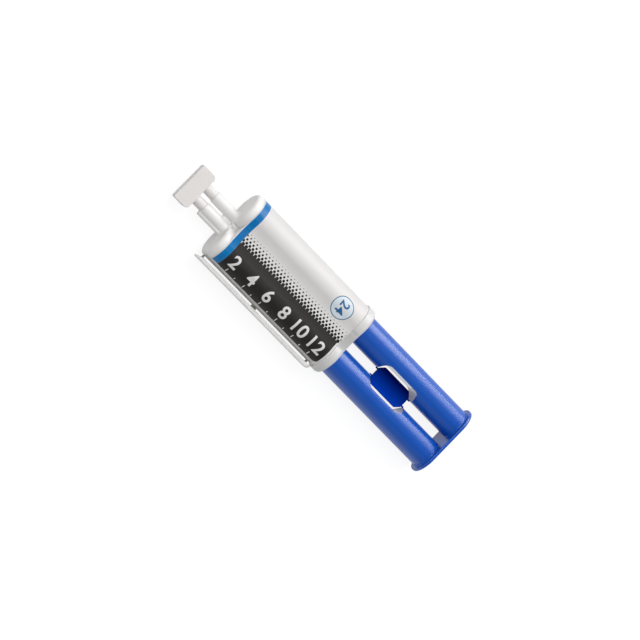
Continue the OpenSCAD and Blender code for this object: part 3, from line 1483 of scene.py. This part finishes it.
    def _ribs(self) -> list[bpy.types.Object]:
        """The wall between the outlets and the key rib on the resin outlet.

        Returns:
            The two ribs.
        """
        foot = SIZE.bore_end_s + self.foot_sunk
        wall_low = at(foot, -SIZE.outlet_y, -self.divider_t / 2)
        wall_high = at(SIZE.plate_s + self.divider_h, SIZE.outlet_y, self.divider_t / 2)
        wall = Workbench.block("divider", wall_low, wall_high)
        Workbench.soften(wall, self.divider_edge)
        key_low = at(foot, SIZE.outlet_y, -self.key_r)
        key = Workbench.block("key", key_low, at(SIZE.rim_s, self.key_y, self.key_r))
        stations = [(foot, self.key_r), *far_rim(SIZE.rim_s, self.key_r, self.key_edge, steps=3)]
        nose = Workbench.turned("nose", Axis.ALONG, at(0.0, self.key_y), stations, Sides.PIN)
        Workbench.weld(key, nose)
        return [wall, key]

    def _collar_bridge(self) -> bpy.types.Object:
        """The finger collar's wall between the barrels, set back to meet their rounding.

        Returns:
            The wall.
        """
        edge, set_back = self.collar_edge, self.collar_edge * self.bridge_share
        r = SIZE.collar_r - edge + math.sqrt(edge**2 - (edge - set_back) ** 2)
        return self._bridge(SIZE.collar_s + set_back, SIZE.collar_end_s, r, self.collar_dip)

    def build(self) -> None:
        """Builds the shell as one skin."""
        shell = self._barrel(Side.RESIN)
        under_label = SIZE.label_r - SIZE.label_t - self.film_play
        supports = [
            self._bridge(start, end, under_label, SIZE.label_dip) for start, end in self.supports
        ]
        others = [self._barrel(Side.HARDENER), self._web(), self._collar_bridge(), *supports]
        Workbench.weld(shell, *others)
        Workbench.weld(shell, *(self._outlet(side) for side in Side), *self._ribs())
        Workbench.cut(shell, *(self._outlet_bore(side) for side in Side))
        Workbench.smooth(shell)
        self.finish_piece(shell, "barrel_shell", MILKY, "barrel_plastic", "twin_barrel")


@dataclass
class LabelWrap(SubAssembly):
    """The printed film round both barrels, and the numbers printed on it."""

    corner_r: float = 1.0
    corner_steps: int = 6
    long_cuts: int = 40
    merge: float = 0.001
    meet_play: float = 0.0001
    edge_play: float = 0.01
    ink_lift: float = 0.012
    step_mm: float = 0.45
    per_ml: float = 5.4
    last_ml: int = 12
    base_y: float = 15.0
    front_gap: float = 1.2
    bar_long: float = 2.2
    bar_short: float = 1.3
    bar_wide: float = 0.42
    bar_drop: float = 2.6
    bar_end_share: float = 0.45
    figure_h: float = 6.3
    figure_weight: float = 0.18
    figure_half: float = 3.6
    figure_gap: float = 0.9
    ring_text: str = "24"
    ring_h: float = 4.6
    ring_weight: float = 0.14
    curve_steps: int = 6
    cap_share: float = 0.7
    letter_gap: float = 1.05
    body: str = "syringe_body"

    def _first_edge(self) -> bpy.types.Object:
        """The label's front free edge, as a line shortened by its corners.

        Returns:
            The line, from which the film is spun.
        """
        Workbench.lay_down()
        y, z = PATH.spot(0.0)
        low = at(SIZE.label_s + self.corner_r, y, z)
        high = at(SIZE.label_s + SIZE.label_len - self.corner_r, y, z)
        middle = (low + high) / 2
        unit = 1.0
        bpy.ops.mesh.primitive_plane_add(size=unit, location=middle)
        film = Workbench.keep_added("label_film")
        with Workbench.editing(film):
            Workbench.pick_points(film, lambda p: p.y < low.y)
            bpy.ops.mesh.delete(type="VERT")
            bpy.ops.mesh.select_all(action="SELECT")
            bpy.ops.transform.translate(value=(0.0, -unit / 2, 0.0))
            length = (high - low).x
            bpy.ops.transform.resize(value=(length, 1.0, 1.0), center_override=middle)
            bpy.ops.mesh.subdivide(number_cuts=self.long_cuts)
        return film

    def _spin(self, run: Run, turn: float, steps: int) -> None:
        """Spins the picked edge on along one stretch by an angle, in the stretch's own sense."""
        centre = at(0.0, run.y, run.z)
        bpy.ops.mesh.spin(steps=steps, angle=-turn, center=centre, axis=(1.0, 0.0, 0.0))

    def _corner_turns(self) -> list[tuple[float, float]]:
        """The first steps off a free edge.

        Returns:
            For each step the distance that it goes, and the share by which the line grows.
        """
        shares = []
        before_v, before_len = 0.0, SIZE.label_len - 2 * self.corner_r
        for i in range(1, self.corner_steps + 1):
            a = math.pi / 2 * i / self.corner_steps
            v = self.corner_r * (1 - math.cos(a))
            length = SIZE.label_len - 2 * self.corner_r * (1 - math.sin(a))
            shares.append((v - before_v, length / before_len))
            before_v, before_len = v, length
        return shares

    def _grow(self, share: float) -> None:
        """Lengthens or shortens the picked line about its middle."""
        middle = at(SIZE.label_s + SIZE.label_len / 2)
        bpy.ops.transform.resize(value=(share, 1.0, 1.0), center_override=middle)

    def _film(self) -> bpy.types.Object:
        """Spins the label's film round the barrels, with rounded corners at both free edges.

        Returns:
            The film, with no thickness yet.
        """
        film = self._first_edge()
        first, *middles, last = PATH.runs()
        corner = self._corner_turns()
        rest = first.turn - self.corner_r / first.r
        rest_steps = max(1, round(first.r * rest / self.step_mm))
        with Workbench.editing(film):
            bpy.ops.mesh.select_all(action="SELECT")
            for distance, share in corner:
                self._spin(first, distance / first.r, 1)
                self._grow(share)
            self._spin(first, rest, rest_steps)
            for run in middles:
                self._spin(run, run.turn, round(run.length / self.step_mm))
            self._spin(last, rest, rest_steps)
            for distance, share in reversed(corner):
                self._spin(last, distance / last.r, 1)
                self._grow(1 / share)
            bpy.ops.mesh.select_all(action="SELECT")
            bpy.ops.mesh.remove_doubles(threshold=self.merge * MM)
            bpy.ops.mesh.normals_make_consistent(inside=False)
        top = max(film.data.polygons, key=lambda face: face.center.z)
        if top.normal.z < 0:
            with Workbench.editing(film):
                bpy.ops.mesh.select_all(action="SELECT")
                bpy.ops.mesh.flip_normals()
        return film

    def _reach(self, point: Vector) -> float:
        """Distance round the label of a point on it.

        Args:
            point: The point in the row frame.

        Returns:
            Millimetres from the front free edge.
        """
        y = point.y / MM + SIZE.mid_y
        z = point.z / MM - SIZE.axis_z
        meet = SIZE.half_pitch - PATH.r * math.sin(PATH.touch)
        in_waist = abs(y) < meet - self.meet_play
        if in_waist:
            stretch = Stretch.WAIST_FRONT if z >= 0 else Stretch.WAIST_BACK
        elif y <= 0:
            stretch = Stretch.FAR
        else:
            stretch = Stretch.NEAR_FRONT if z >= 0 else Stretch.NEAR_BACK
        runs = PATH.runs()
        run, full = runs[stretch], 2 * math.pi
        angle = math.atan2(y - run.y, z - run.z)
        gone = ((run.start - angle) * math.copysign(1.0, run.turn)) % full
        if in_waist and gone > math.pi:
            gone -= full
        elif gone > full - self.edge_play:
            gone = 0.0
        return sum(before.length for before in runs[:stretch]) + run.r * gone

    def _unroll(self, film: bpy.types.Object) -> None:
        """Gives the film a map of its place before it was wrapped.

        Args:
            film: The film.
        """
        layer = film.data.uv_layers.new(name=FILM_PRINT.uv_name)
        points = [p.co for p in film.data.vertices]
        reach = [self._reach(p) / PATH.length for p in points]
        along = [(p.x / MM + SIZE.mid_s - SIZE.label_s) / SIZE.label_len for p in points]
        for corner in film.data.loops:
            number = corner.vertex_index
            layer.data[corner.index].uv = (along[number], reach[number])

    def _wrap(self, ink: bpy.types.Object, place: Callable[[Vector], tuple[float, float]]) -> None:
        """Lays a flat mesh on the label.

        Args:
            ink: The flat mesh, in millimetres about its own middle.
            place: Turns a flat point into a place along the syringe and a distance round it.
        """
        for point in ink.data.vertices:
            s, v = place(point.co)
            point.co = at(s, *PATH.spot(v, self.ink_lift))

    def _slice(self, ink: bpy.types.Object, across: Vector, reach: float) -> None:
        """Slices a flat mesh into narrow bands so that it can bend.

        Args:
            ink: The flat mesh.
            across: Direction across the bands.
            reach: Half the width that the bands cover, in millimetres.
        """
        steps = round(2 * reach / self.step_mm)
        with Workbench.editing(ink):
            for i in range(1, steps):
                bpy.ops.mesh.select_all(action="SELECT")
                spot = across * (-reach + 2 * reach * i / steps)
                bpy.ops.mesh.bisect(plane_co=spot, plane_no=across)

    def _figure(self, text: str, height: float, weight: float) -> bpy.types.Object:
        """A number as a flat mesh in millimetres, its middle at nought.

        Args:
            text: The figures.
            height: Their height in millimetres.
            weight: How much their strokes are thickened.

        Returns:
            The flat mesh.
        """
        Workbench.lay_down()
        bpy.ops.object.text_add(location=(0.0, 0.0, 0.0))
        words = bpy.context.active_object.data
        words.body = text
        words.size = height / self.cap_share
        words.offset = weight
        words.resolution_u = self.curve_steps
        words.space_character = self.letter_gap
        bpy.ops.object.convert(target="MESH")
        figure = bpy.context.active_object
        xs, ys = ([p.co[axis] for p in figure.data.vertices] for axis in (0, 1))
        middle = Vector(((min(xs) + max(xs)) / 2, (min(ys) + max(ys)) / 2, 0.0))
        figure.data.transform(Matrix.Translation(-middle))
        return figure

    def _bar(self, long: float) -> bpy.types.Object:
        """A flat bar in millimetres with rounded ends, its middle at nought.

        Args:
            long: Its length.

        Returns:
            The flat mesh.
        """
        Workbench.lay_down()
        bpy.ops.mesh.primitive_plane_add(size=1.0)
        bar = Workbench.keep_added("bar")
        wide = self.bar_wide
        with Workbench.editing(bar):
            bpy.ops.mesh.select_all(action="SELECT")
            bpy.ops.transform.resize(value=(wide, long, 1.0), center_override=(0.0, 0.0, 0.0))
            bpy.ops.mesh.bevel(offset=wide * self.bar_end_share, segments=3, affect="VERTICES")
        return bar

    def _scale(self) -> bpy.types.Object:
        """The white scale on the dark panel: a figure every 2 ml, a bar every 1 ml.

        Returns:
            The figures and bars as one mesh.
        """
        across = Vector((0.0, 1.0, 0.0))
        base_v = PATH.from_front(self.base_y)
        figure_v = base_v + self.figure_gap + self.figure_h / 2
        marks: list[bpy.types.Object] = []
        for ml in range(1, self.last_ml + 1):
            s0 = SIZE.bore_end_s - self.per_ml * ml
            if s0 > FILM_PRINT.panel_s[1] - self.front_gap:
                continue
            long = self.bar_short if ml % 2 else self.bar_long
            bar, bar_v = self._bar(long), base_v - self.bar_drop + long / 2
            self._slice(bar, across, long / 2)
            self._wrap(bar, lambda p, s0=s0, v0=bar_v: (s0 - p.x, v0 + p.y))
            marks.append(bar)
            if ml % 2 == 0:
                figure = self._figure(str(ml), self.figure_h, self.figure_weight)
                self._slice(figure, across, self.figure_half)
                self._wrap(figure, lambda p, s0=s0: (s0 - p.x, figure_v + p.y))
                marks.append(figure)
        Workbench.join(*marks)
        return marks[0]

    def _ring_figure(self) -> bpy.types.Object:
        """The blue figures in the ring.

        Returns:
            The figures.
        """
        figure = self._figure(self.ring_text, self.ring_h, self.ring_weight)
        self._slice(figure, Vector((1.0, 0.0, 0.0)), self.ring_h)
        v0 = PATH.from_front(FILM_PRINT.ring_y)
        self._wrap(figure, lambda p: (FILM_PRINT.ring_s - p.y, v0 - p.x))
        return figure

    def build(self) -> None:
        """Builds the film and lays the ink on it."""
        film = self._film()
        self._unroll(film)
        Workbench.take_up(film)
        bpy.ops.object.modifier_add(type="SOLIDIFY")
        wall = film.modifiers[-1]
        wall.thickness = SIZE.label_t * MM
        wall.offset = -1.0
        Workbench.apply_newest(film)
        Workbench.smooth(film)
        self.finish_piece(film, "label_film", FILM_PRINT, "label_film", "label")
        self.finish_piece(self._scale(), "scale_figures", WHITE_INK, "label_film")
        self.finish_piece(self._ring_figure(), "ring_figures", BLUE_INK, "label_film")


@dataclass
class Plunger(SubAssembly):
    """The two rods with their thumb flange and window, and the pistons."""

    flange_edge: float = 0.4
    foot_cove_r: float = 0.4
    end_edge: float = 0.3
    overrun: float = 2.0
    body: str = "plunger_body"

    def _flange(self) -> bpy.types.Object:
        """The thumb flange: a disc pulled out to both rods, with rounded rims.

        Returns:
            The flange.
        """
        Workbench.lay_down()
        middle, thick = at(0.0), SIZE.flange_t * MM
        bpy.ops.mesh.primitive_circle_add(
            vertices=Sides.BARREL.value,
            radius=SIZE.flange_r * MM,
            fill_type="NGON",
            location=middle,
            rotation=Axis.ALONG.disc_turn,
        )
        flange = Workbench.keep_added("flange")
        ends = (middle.x, middle.x + thick)
        with Workbench.editing(flange):
            for way in (1, -1):
                Workbench.pick_points(flange, lambda p, way=way: (p.y - middle.y) * way > CLOSE)
                bpy.ops.transform.translate(value=(0.0, way * SIZE.half_pitch * MM, 0.0))
            bpy.ops.mesh.select_all(action="SELECT")
            bpy.ops.mesh.extrude_region_move(TRANSFORM_OT_translate={"value": (thick, 0.0, 0.0)})
            Workbench.pick_edges(
                flange,
                lambda a, b: abs(a.x - b.x) < CLOSE and min(abs(a.x - end) for end in ends) < CLOSE,
            )
            Workbench.bevel_picked(self.flange_edge, segments=5)
        Workbench.face_outwards(flange)
        return flange

    def _rod(self, side: Side) -> bpy.types.Object:
        """One rod, with a fillet where it leaves the flange.

        Args:
            side: Which rod.

        Returns:
            The rod.
        """
        top = SIZE.flange_t
        stations = [
            (top / 2, SIZE.rod_r + self.foot_cove_r),
            *foot_cove(top, SIZE.rod_r, self.foot_cove_r),
            *far_rim(SIZE.piston_s, SIZE.rod_r, self.end_edge, steps=3),
        ]
        return Workbench.turned("rod", Axis.ALONG, at(0.0, side.y), stations, Sides.BARREL)

    def _window(self) -> bpy.types.Object:
        """What is taken out for the window, with rounded corners.

        Returns:
            The window's filling.
        """
        half = Vector((SIZE.window_len / 2, SIZE.window_w / 2, SIZE.rod_r + self.overrun)) * MM
        middle = at(SIZE.window_s)
        window = Workbench.block("window", middle - half, middle + half)
        with Workbench.editing(window):
            Workbench.pick_edges(window, upright)
            Workbench.bevel_picked(SIZE.window_r, segments=12)
        return window

    def build(self) -> None:
        """Builds the rods as one skin and dresses the pistons."""
        rods = self._rod(Side.RESIN)
        Workbench.weld(rods, self._rod(Side.HARDENER), self._flange())
        Workbench.cut(rods, self._window())
        Workbench.smooth(rods)
        self.finish_piece(rods, "plunger_rods", ROD_BLUE, "plunger_plastic", "plunger")
        for node in ("resin_piston", "hardener_piston"):
            RUBBER.dress(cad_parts[node])


@dataclass
class Charges(SubAssembly):
    """The two columns of adhesive."""

    start_s: float = 78.05
    end_s: float = 142.95
    r: float = 7.65
    dish: float = 0.5
    dish_steps: int = 4
    dish_share: float = 0.3
    end_edge: float = 0.5
    keep: float = 0.0035
    body: str = "syringe_body"

    def build(self) -> None:
        """Builds each column with its meniscus at the piston."""
        stations = []
        for i in range(self.dish_steps + 1):
            out = i / self.dish_steps
            share = self.dish_share + (1 - self.dish_share) * out
            stations.append((self.start_s + self.dish * (1 - out), self.r * share))
        stations += far_rim(self.end_s, self.r, self.end_edge, steps=3)
        for side, finish in ((Side.RESIN, RESIN), (Side.HARDENER, HARDENER)):
            slot = side.name.lower()
            column = Workbench.turned(slot, Axis.ALONG, at(0.0, side.y), stations, Sides.TUBE)
            Workbench.smooth(column)
            self.finish_piece(column, f"{slot}_column", finish, slot, f"{slot}_charge")
            anchor = tuple(at(self.end_s, side.y))
            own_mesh(column)


@dataclass
class NozzleCap(SubAssembly):
    """The pull-off cap: a finger grip on two prongs that plug the outlets."""

    grip_w: float = 19.5
    grip_t: float = 4.6
    grip_edge: float = 0.35
    near_r: float = 2.0
    far_r: float = 0.8
    prong_r: float = 2.5
    prong_edge: float = 0.1
    prong_flare: float = 1.0
    flare_over: float = 0.3
    root_inset: float = 0.05
    root_edge: float = 1.4
    rise: float = 3.0
    plug_len: float = 7.0
    plug_play: float = 0.05
    plug_edge: float = 0.6
    rim_gap: float = 0.05
    body: str = "cap_body"

    def _grip(self) -> bpy.types.Object:
        """The finger grip, a block with rounded corners and edges.

        Returns:
            The grip.
        """
        low = at(SIZE.grip_s, -self.grip_w / 2, -self.grip_t / 2)
        high = at(SIZE.total_s, self.grip_w / 2, self.grip_t / 2)
        middle_x = (low.x + high.x) / 2
        grip = Workbench.block("grip", low, high)
        with Workbench.editing(grip):
            Workbench.pick_edges(grip, lambda a, b: upright(a, b) and a.x < middle_x)
            Workbench.bevel_picked(self.near_r, segments=8)
            Workbench.pick_edges(grip, lambda a, b: upright(a, b) and a.x > high.x - CLOSE)
            Workbench.bevel_picked(self.far_r, segments=5)
        Workbench.soften(grip, self.grip_edge)
        return grip

    def _prong(self, side: Side) -> bpy.types.Object:
        """One prong, from its plug's tip to its rounded end on the grip.

        Args:
            side: Whose outlet it plugs.

        Returns:
            The prong.
        """
        r, root_r = SIZE.outlet_bore_r - self.plug_play, self.grip_t / 2 - self.root_inset
        shoulder = SIZE.rim_s + self.rim_gap
        stations = [
            *near_rim(SIZE.rim_s - self.plug_len, r, self.plug_edge, steps=4),
            (shoulder, r),
            *near_rim(shoulder, self.prong_r, self.prong_edge, steps=2),
            (SIZE.grip_s - self.prong_flare, self.prong_r),
            (SIZE.grip_s + self.flare_over, root_r),
            *far_rim(SIZE.grip_s + self.rise, root_r, self.root_edge, steps=4),
        ]
        return Workbench.turned("prong", Axis.ALONG, side.outlet, stations, Sides.TUBE)

    def build(self) -> None:
        """Builds the cap as one skin."""
        cap = self._grip()
        Workbench.weld(cap, *(self._prong(side) for side in Side))
        Workbench.smooth(cap)
        self.finish_piece(cap, "cap_grip", CAP_WHITE, "cap_plastic", "nozzle_cap")


@dataclass
class ResealStopper(SubAssembly):
    """The stored stopper: a plate with cut corners, two pins and break-off nibs."""

    length: float = 20.4
    width: float = 10.2
    thick: float = 1.6
    edge: float = 0.3
    corner: float = 2.3
    pin_r: float = 2.05
    pin_len: float = 4.5
    pin_edge: float = 0.6
    nib: float = 0.8
    nib_edge: float = 0.12
    nib_gap: float = 0.05
    body: str = "stopper_body"

    def build(self) -> None:
        """Builds the stopper as one skin."""
        s, half_l, half_w, half_t = SIZE.window_s, self.length / 2, self.width / 2, self.thick / 2
        low, high = at(s - half_l, -half_w, -half_t), at(s + half_l, half_w, half_t)
        plate = Workbench.block("plate", low, high)
        with Workbench.editing(plate):
            Workbench.pick_edges(plate, upright)
            Workbench.bevel_picked(self.corner, segments=1)
        Workbench.soften(plate, self.edge)
        reach, half_nib = SIZE.window_len / 2 - self.nib_gap, self.nib / 2
        nib_y = min(half_w - self.corner, SIZE.window_w / 2 - SIZE.window_r) - half_nib
        pin_end = half_t + self.pin_len
        stations = [(0.0, self.pin_r), *far_rim(pin_end, self.pin_r, self.pin_edge, steps=4)]
        for way in (1, -1):
            foot = at(s + way * SIZE.outlet_y)
            pin = Workbench.turned("pin", Axis.DOWN, foot, stations, Sides.PIN)
            low = at(s - reach, way * nib_y - half_nib, -half_nib)
            nib = Workbench.block("nib", low, at(s + reach, way * nib_y + half_nib, half_nib))
            Workbench.soften(nib, self.nib_edge, segments=2)
            Workbench.weld(plate, pin, nib)
        Workbench.smooth(plate)
        self.finish_piece(plate, "stopper_plate", STOPPER_BLUE, "stopper_plastic", "reseal_stopper")


@dataclass
class MixingSpatula(SubAssembly):
    """The snap-off blade beside the resin barrel, on three small tabs."""

    length: float = 74.0
    depth: float = 7.6
    thick: float = 1.7
    edge: float = 0.25
    edge_angle_deg: float = 50.0
    gap: float = 1.2
    bevel_len: float = 2.8
    bevel_t: float = 0.6
    slant: float = 0.9
    corner_r: float = 1.8
    tab_t: float = 1.2
    tab_edge: float = 0.12
    tab_play: float = 0.05
    tab_long: float = 0.9
    mid_tab_long: float = 2.9
    tab_shares: tuple[float, float, float] = (0.03, 0.493, 0.968)
    body: str = "spatula_body"

    def _blade(self) -> bpy.types.Object:
        """The blade, bevelled at its front end and slanted at its back end.

        Returns:
            The blade.
        """
        half_d = self.depth / 2
        low = at(SIZE.spatula_s, SIZE.spatula_y, -half_d)
        high = at(SIZE.spatula_s + self.length, SIZE.spatula_y + self.thick, half_d)
        blade = Workbench.block("blade", low, high)
        slant = self.slant * MM
        cut_x = high.x - self.bevel_len * MM
        with Workbench.editing(blade):
            bpy.ops.mesh.select_all(action="SELECT")
            bpy.ops.mesh.bisect(plane_co=(cut_x, 0.0, 0.0), plane_no=(1.0, 0.0, 0.0))
            Workbench.pick_points(blade, lambda p: p.x > high.x - CLOSE and p.y < high.y - CLOSE)
            bpy.ops.transform.translate(value=(0.0, (self.thick - self.bevel_t) * MM, 0.0))
            Workbench.pick_points(blade, lambda p: p.x < low.x + CLOSE and p.y > high.y - CLOSE)
            bpy.ops.transform.translate(value=(slant, 0.0, 0.0))
            Workbench.pick_edges(
                blade,
                lambda a, b: abs(a.y - b.y) > CLOSE > abs(a.z - b.z)
                and (min(a.x, b.x) > high.x - CLOSE or max(a.x, b.x) < low.x + slant + CLOSE),
            )
            Workbench.bevel_picked(self.corner_r, segments=6)
        Workbench.soften(blade, self.edge, segments=2, angle_deg=self.edge_angle_deg)
        return blade

    def build(self) -> None:
        """Builds the blade and its tabs as one skin."""
        blade = self._blade()
        first, middle, last = (SIZE.spatula_s + self.length * share for share in self.tab_shares)
        low_y = SIZE.spatula_y - self.gap + self.tab_play
        high_y, half_t = SIZE.spatula_y + self.thick / 2, self.tab_t / 2
        for start, long in (
            (first, self.tab_long),
            (middle, self.mid_tab_long),
            (last - self.tab_long, self.tab_long),
        ):
            low = at(start, low_y, -half_t)
            tab = Workbench.block("tab", low, at(start + long, high_y, half_t))
            Workbench.soften(tab, self.tab_edge, segments=2)
            Workbench.weld(blade, tab)
        Workbench.smooth(blade)
        self.finish_piece(blade, "spatula_blade", BLADE_WHITE, "spatula_plastic", "mixing_spatula")


@dataclass(frozen=True)
class PhotoCamera:
    """The photograph's viewpoint, fitted to the syringe's own outlines."""

    turn_deg: float = 17.21
    tilt_deg: float = 5.15
    roll_deg: float = 0.09
    slant_deg: float = 44.1
    distance: float = 1500.0
    focal_px: float = 3325.0
    picture_px: float = 640.0
    sensor: float = 36.0
    aim_s: float = 82.87
    aim_y: float = 1.347
    clip: tuple[float, float] = (0.05, 20.0)

    def place(self) -> None:
        """Sets up the camera."""
        turn, tilt = math.radians(self.turn_deg), math.radians(self.tilt_deg)
        back = Vector(
            (math.sin(turn), math.cos(turn) * math.sin(tilt), math.cos(turn) * math.cos(tilt))
        )
        right = Vector((1.0, 0.0, 0.0)).cross(back).normalized()
        up = back.cross(right)
        angle = math.radians(self.roll_deg + self.slant_deg)
        right, up = (
            right * math.cos(angle) - up * math.sin(angle),
            right * math.sin(angle) + up * math.cos(angle),
        )
        data = bpy.data.cameras.new("photo_camera")
        data.sensor_width = self.sensor
        data.lens = self.focal_px / self.picture_px * self.sensor
        data.clip_start, data.clip_end = self.clip
        camera = stand(data, (right, up, back), at(self.aim_s, self.aim_y), self.distance * MM)
        bpy.context.scene.camera = camera


@dataclass(frozen=True)
class SoftBox:
    """One soft light that faces the syringe."""

    name: str
    way: tuple[float, float, float]
    distance: float
    wide: float
    tall: float
    radiance: float

    def hang(self) -> None:
        """Hangs the light."""
        way = Vector(self.way).normalized()
        side = Vector((0.0, 0.0, 1.0)).cross(way).normalized()
        data = bpy.data.lights.new(self.name, "AREA")
        data.shape = "RECTANGLE"
        data.size, data.size_y = self.wide, self.tall
        data.energy = self.radiance * math.pi * self.wide * self.tall
        stand(data, (side, way.cross(side), way), at(SIZE.mid_s), self.distance)


@dataclass(frozen=True)
class Studio:
    """The pale floor, the walls and ceiling that light softly, and the lamps."""

    floor_r: float = 6.0
    floor_sides: int = 96
    floor_inset_share: float = 0.6
    floor_grey: float = 0.23
    floor_roughness: float = 0.5
    floor_glow: float = 0.87
    floor_swing: float = 0.01
    floor_mottle: Pattern = Pattern(6.0, 2.0)
    bounce_grey: float = 0.5
    wall_light: float = 0.62
    wall_lean: tuple[float, float, float] = (0.0, 0.18, 0.0)
    wall_ends: float = 0.28
    ceiling_light: float = 0.06
    ceiling_way: tuple[float, float, float] = (-0.3, 0.0, 0.954)
    ceiling_edge: float = 0.84
    ceiling_soft: float = 0.24
    skirting: float = 0.14
    skirting_soft: float = 0.06
    lights: tuple[SoftBox, ...] = (
        SoftBox("key_box", (-0.28, -0.82, 0.5), 1.0, 0.19, 0.88, 8.2),
        SoftBox("overhead_box", (0.12, -0.25, 0.96), 1.2, 0.4, 1.0, 4.5),
    )

    def _looked_at(self, tree: NodeTree) -> Wire:
        """One for rays that look at the floor, straight or by way of gloss or glass.

        Args:
            tree: The floor material's nodes.

        Returns:
            The mask.
        """
        camera = tree.add(NodeKind.LIGHT_PATH, output="Is Camera Ray")
        glossy = tree.add(NodeKind.LIGHT_PATH, output="Is Glossy Ray")
        passed = tree.add(NodeKind.LIGHT_PATH, output="Is Transmission Ray")
        return camera.most(glossy).most(passed)

    def _floor(self) -> None:
        """The floor that the syringe lies on."""
        Workbench.lay_down()
        bpy.ops.mesh.primitive_circle_add(
            vertices=self.floor_sides,
            radius=self.floor_r,
            fill_type="NGON",
            location=(0.0, 0.0, 0.0),
        )
        floor = Workbench.keep_added("studio_floor")
        with Workbench.editing(floor):
            bpy.ops.mesh.select_all(action="SELECT")
            bpy.ops.mesh.inset(thickness=self.floor_r * self.floor_inset_share)
        paint = bpy.data.materials.new("studio_floor")
        paint.use_nodes = True
        tree = NodeTree(paint.node_tree)
        seen = self._looked_at(tree)
        glow = tree.noise(tree.coords(), self.floor_mottle) * self.floor_swing + self.floor_glow
        grey = tree.blend(seen, (self.bounce_grey,) * 3, (self.floor_grey,) * 3)
        inputs = {"Color": grey, "Roughness": self.floor_roughness}
        shaded = tree.add(NodeKind.DIFFUSE, None, inputs)
        glowing = tree.add(NodeKind.GLOW, None, {"Strength": seen * glow})
        tree.close(tree.add(NodeKind.ADD_SHADER, None, {0: shaded, 1: glowing}))
        floor.data.materials.append(paint)

    def _world(self) -> None:
        """White skirting all round, pale walls and a dim ceiling."""
        world = bpy.data.worlds.new("studio")
        world.use_nodes = True
        bpy.context.scene.world = world
        tree = NodeTree(world.node_tree)
        way = tree.coords("Generated")
        dot = {"operation": "DOT_PRODUCT"}
        lean = tree.add(NodeKind.VECTOR, dot, {0: way, 1: self.ceiling_way}, output="Value")
        away = tree.add(NodeKind.VECTOR, dot, {0: way, 1: self.wall_lean}, output="Value")
        walls = self.wall_light - away - way.part("X").size() * self.wall_ends
        ceiling = lean.above(self.ceiling_edge, self.ceiling_soft)
        room = walls + ceiling * (self.ceiling_light - walls)
        low = way.part("Z").below(self.skirting, self.skirting_soft)
        strength = room + low * (1.0 - room)
        white = (1.0, 1.0, 1.0, 1.0)
        sky = tree.add(NodeKind.BACKGROUND, None, {"Color": white, "Strength": strength})
        tree.add(NodeKind.WORLD_OUTPUT, None, {"Surface": sky})

    def set_up(self) -> None:
        """Sets up floor, surroundings and lights."""
        self._floor()
        self._world()
        for light in self.lights:
            light.hang()
        bpy.context.scene.view_settings.view_transform = "Standard"


def main() -> None:
    """Builds the camera, the studio and every sub-assembly in order."""
    logging.basicConfig(level=logging.INFO, format="%(name)s: %(message)s")
    PhotoCamera().place()
    Studio().set_up()
    parts: tuple[SubAssembly, ...] = (
        BarrelShell(),
        LabelWrap(),
        Plunger(),
        Charges(),
        NozzleCap(),
        ResealStopper(),
        MixingSpatula(),
    )
    for part in parts:
        part.build()
        for piece in part.pieces:
            faces = len(piece.data.polygons)
            log.info("%s: %s, %d faces", type(part).__name__, piece.name, faces)
    Workbench.lay_down()


if __name__ == "__main__":
    main()
